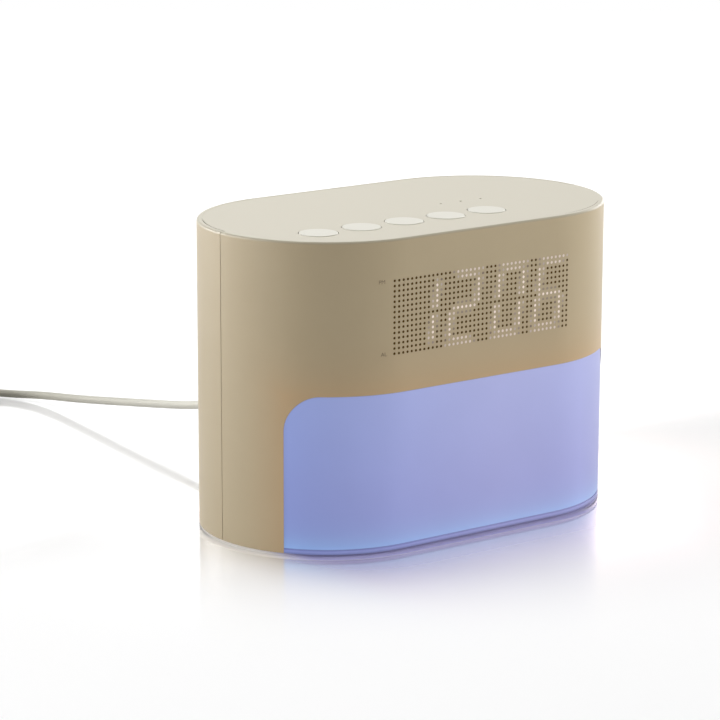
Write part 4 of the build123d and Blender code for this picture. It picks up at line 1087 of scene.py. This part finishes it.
def paintedFootBand(tree, look, x, y, signed, front):
    # painted light and shade beside and under the foot: share of that band, its lift and its tint
    under = spanMm(tree, signed, look["underEdge"], 1.0, 0.0)
    band = spanMm(tree, mathNode(tree, "MAXIMUM", signed, 0.0), look["paintedFootBand"], 1.0, 0.0)
    slanted = mathNode(tree, "ADD", y, mathNode(tree, "MULTIPLY", x, look["bandSlant"]))
    facing = spanMm(tree, slanted, look["bandFacing"], 1.0, 0.0)
    band = mathNode(tree, "MULTIPLY", band, mathNode(tree, "MAXIMUM", facing, under))
    rightEnd = spanMm(tree, x, look["rightEndX"])
    bandLift = byPlace(tree, front, rightEnd, look["bandLift"])
    underLift = byPlace(tree, front, rightEnd, look["underLift"])
    lift = span(tree, under, 0.0, 1.0, bandLift, underLift)
    lift = mathNode(tree, "MULTIPLY", band, mathNode(tree, "SUBTRACT", lift, 1.0))
    leftTint, frontTint, rightTint = ((*tint, 1.0) for tint in look["footLightTint"])
    tint = mixColours(tree, front, leftTint, mixColours(tree, rightEnd, frontTint, rightTint))
    return band, mathNode(tree, "ADD", 1.0, lift), tint


def imageShare(tree, look, x, y, reach, band):
    # exp(-(distance / reach) ** fade), less at both ends and in the band, with a least share behind the case
    fade = mathNode(tree, "DIVIDE", reach, look["mirrorReach"] * mm)
    fade = mathNode(tree, "POWER", fade, look["mirrorFade"])
    share = mathNode(tree, "EXPONENT", mathNode(tree, "MULTIPLY", fade, -1.0))
    left, full = look["mirrorLeft"] * look["mirrorShare"], look["mirrorShare"]
    share = mathNode(tree, "MULTIPLY", share, spanMm(tree, x, look["imageLeftX"], left, full))
    share = mathNode(tree, "MULTIPLY", share, spanMm(tree, x, look["imageRightX"], 1.0, look["mirrorRight"]))
    hidden = mathNode(tree, "MULTIPLY", band, look["bandCover"])
    share = mathNode(tree, "MULTIPLY", share, mathNode(tree, "SUBTRACT", 1.0, hidden))
    return mathNode(tree, "MAXIMUM", share, spanMm(tree, y, look["behindY"], 0.0, look["mirrorBehind"]))


def imageColour(tree, look, x, y, reach, front):
    # tint of the image, with a painted contact shadow beside the foot but not at the left end, and plain
    # behind the case
    leftTint, frontTint = ((*tint, 1.0) for tint in look["mirrorTintFront"])
    colour = mixColours(tree, spanMm(tree, x, look["imageTintX"]), leftTint, frontTint)
    colour = mixColours(tree, front, (*look["mirrorTintLeft"], 1.0), colour)
    shade = span(tree, reach, 0.0, look["contactReach"] * mm, look["contactShade"], 1.0)
    colour = scaled(tree, colour, mathNode(tree, "MAXIMUM", shade, mathNode(tree, "SUBTRACT", 1.0, front)))
    start, end = look["behindY"]
    return mixColours(tree, span(tree, y, start * mm, end * mm), colour, white)


def floorMaterial(look):
    # white table: a matt part that takes the shadow, painted light and shade in a band round the foot, and a
    # mirror image that fades away from the case
    material, tree, place = startMaterial("floor")
    x, y, _ = axes(tree, place)
    path = addNode(tree, "ShaderNodeLightPath")
    seen = rayIsSeen(tree, path)
    clear = span(tree, vectorLength(tree, place), look["clearFrom"], look["clearTo"], smooth=True)
    signed = outlineDistance(tree, x, y)
    reach = mathNode(tree, "MAXIMUM", signed, 0.0)
    front = spanMm(tree, x, look["frontX"])
    band, bandLift, tint = paintedFootBand(tree, look, x, y, signed, front)
    tint = mixColours(tree, mathNode(tree, "MULTIPLY", band, seen), white, tint)
    level = mathNode(tree, "MULTIPLY", seen, span(tree, clear, 0.0, 1.0, look["floorLift"], 1.0))
    level = mathNode(tree, "MULTIPLY", level, bandLift)
    tone = vectorNode(tree, "MULTIPLY", tint, linearColour(*look["floorColour"])[:3])
    matt = addNode(tree, "ShaderNodeBsdfDiffuse", {"Color": tone})
    black = addNode(tree, "ShaderNodeBsdfDiffuse", {"Color": (0, 0, 0, 1)})
    plain = mathNode(tree, "MULTIPLY", seen, clear)
    base = addNode(tree, "ShaderNodeMixShader", {0: plain, 1: matt.outputs[0], 2: black.outputs[0]})
    lift = addNode(tree, "ShaderNodeEmission", {"Color": tint, "Strength": level})
    table = addNode(tree, "ShaderNodeAddShader", {0: base.outputs[0], 1: lift.outputs[0]})
    image = imageColour(tree, look, x, y, reach, front)
    mirror = addNode(tree, "ShaderNodeBsdfGlossy", {"Color": image, "Roughness": look["mirrorRoughness"]})
    share = imageShare(tree, look, x, y, reach, band)
    share = mathNode(tree, "MULTIPLY", share, path.outputs["Is Camera Ray"])
    both = addNode(tree, "ShaderNodeMixShader", {0: share, 1: table.outputs[0], 2: mirror.outputs[0]})
    closeMaterial(tree, both.outputs[0])
    return material


def makeFloor(look):
    # one level square at the height of the table
    half = look["floorSize"] / 2 / mm
    corners = ((-half, -half, 0.0), (half, -half, 0.0), (half, half, 0.0), (-half, half, 0.0))
    floor = meshObject("floor", corners, [(0, 1, 2, 3)])
    floor.data.materials.append(floorMaterial(look))


def makeWorld(look):
    # plain white where a ray is seen, faint light for the rest
    world = bpy.data.worlds.new("studio")
    bpy.context.scene.world = world
    world.use_nodes = True
    tree = world.node_tree
    tree.nodes.clear()
    seen = rayIsSeen(tree, addNode(tree, "ShaderNodeLightPath"))
    strength = span(tree, seen, 0.0, 1.0, look["worldStrength"], 1.0)
    light = addNode(tree, "ShaderNodeBackground", {"Color": white, "Strength": strength})
    output = tree.nodes.new("ShaderNodeOutputWorld")
    tree.links.new(light.outputs["Background"], output.inputs["Surface"])


def makeLamp(name, place, size, watts, kind):
    # a disk turned towards the aim; a gloss lamp gives no matt light and a matt lamp no gloss
    data = bpy.data.lights.new(name, "AREA")
    data.shape = "DISK"
    data.size = size
    data.energy = watts
    lamp = linked(name, data)
    lamp.location = place
    lamp.rotation_mode = "QUATERNION"
    lamp.rotation_quaternion = (Vector(studio["aim"]) - Vector(place)).to_track_quat("-Z", "Y")
    lamp.visible_camera = False
    lamp.visible_diffuse = kind != "gloss"
    lamp.visible_glossy = kind != "matt"


makeFloor(studio)
makeWorld(studio)
for lampRow in studio["lamps"]:
    makeLamp(*lampRow)
bpy.context.scene.view_settings.view_transform = "Standard"
print("studio lit")
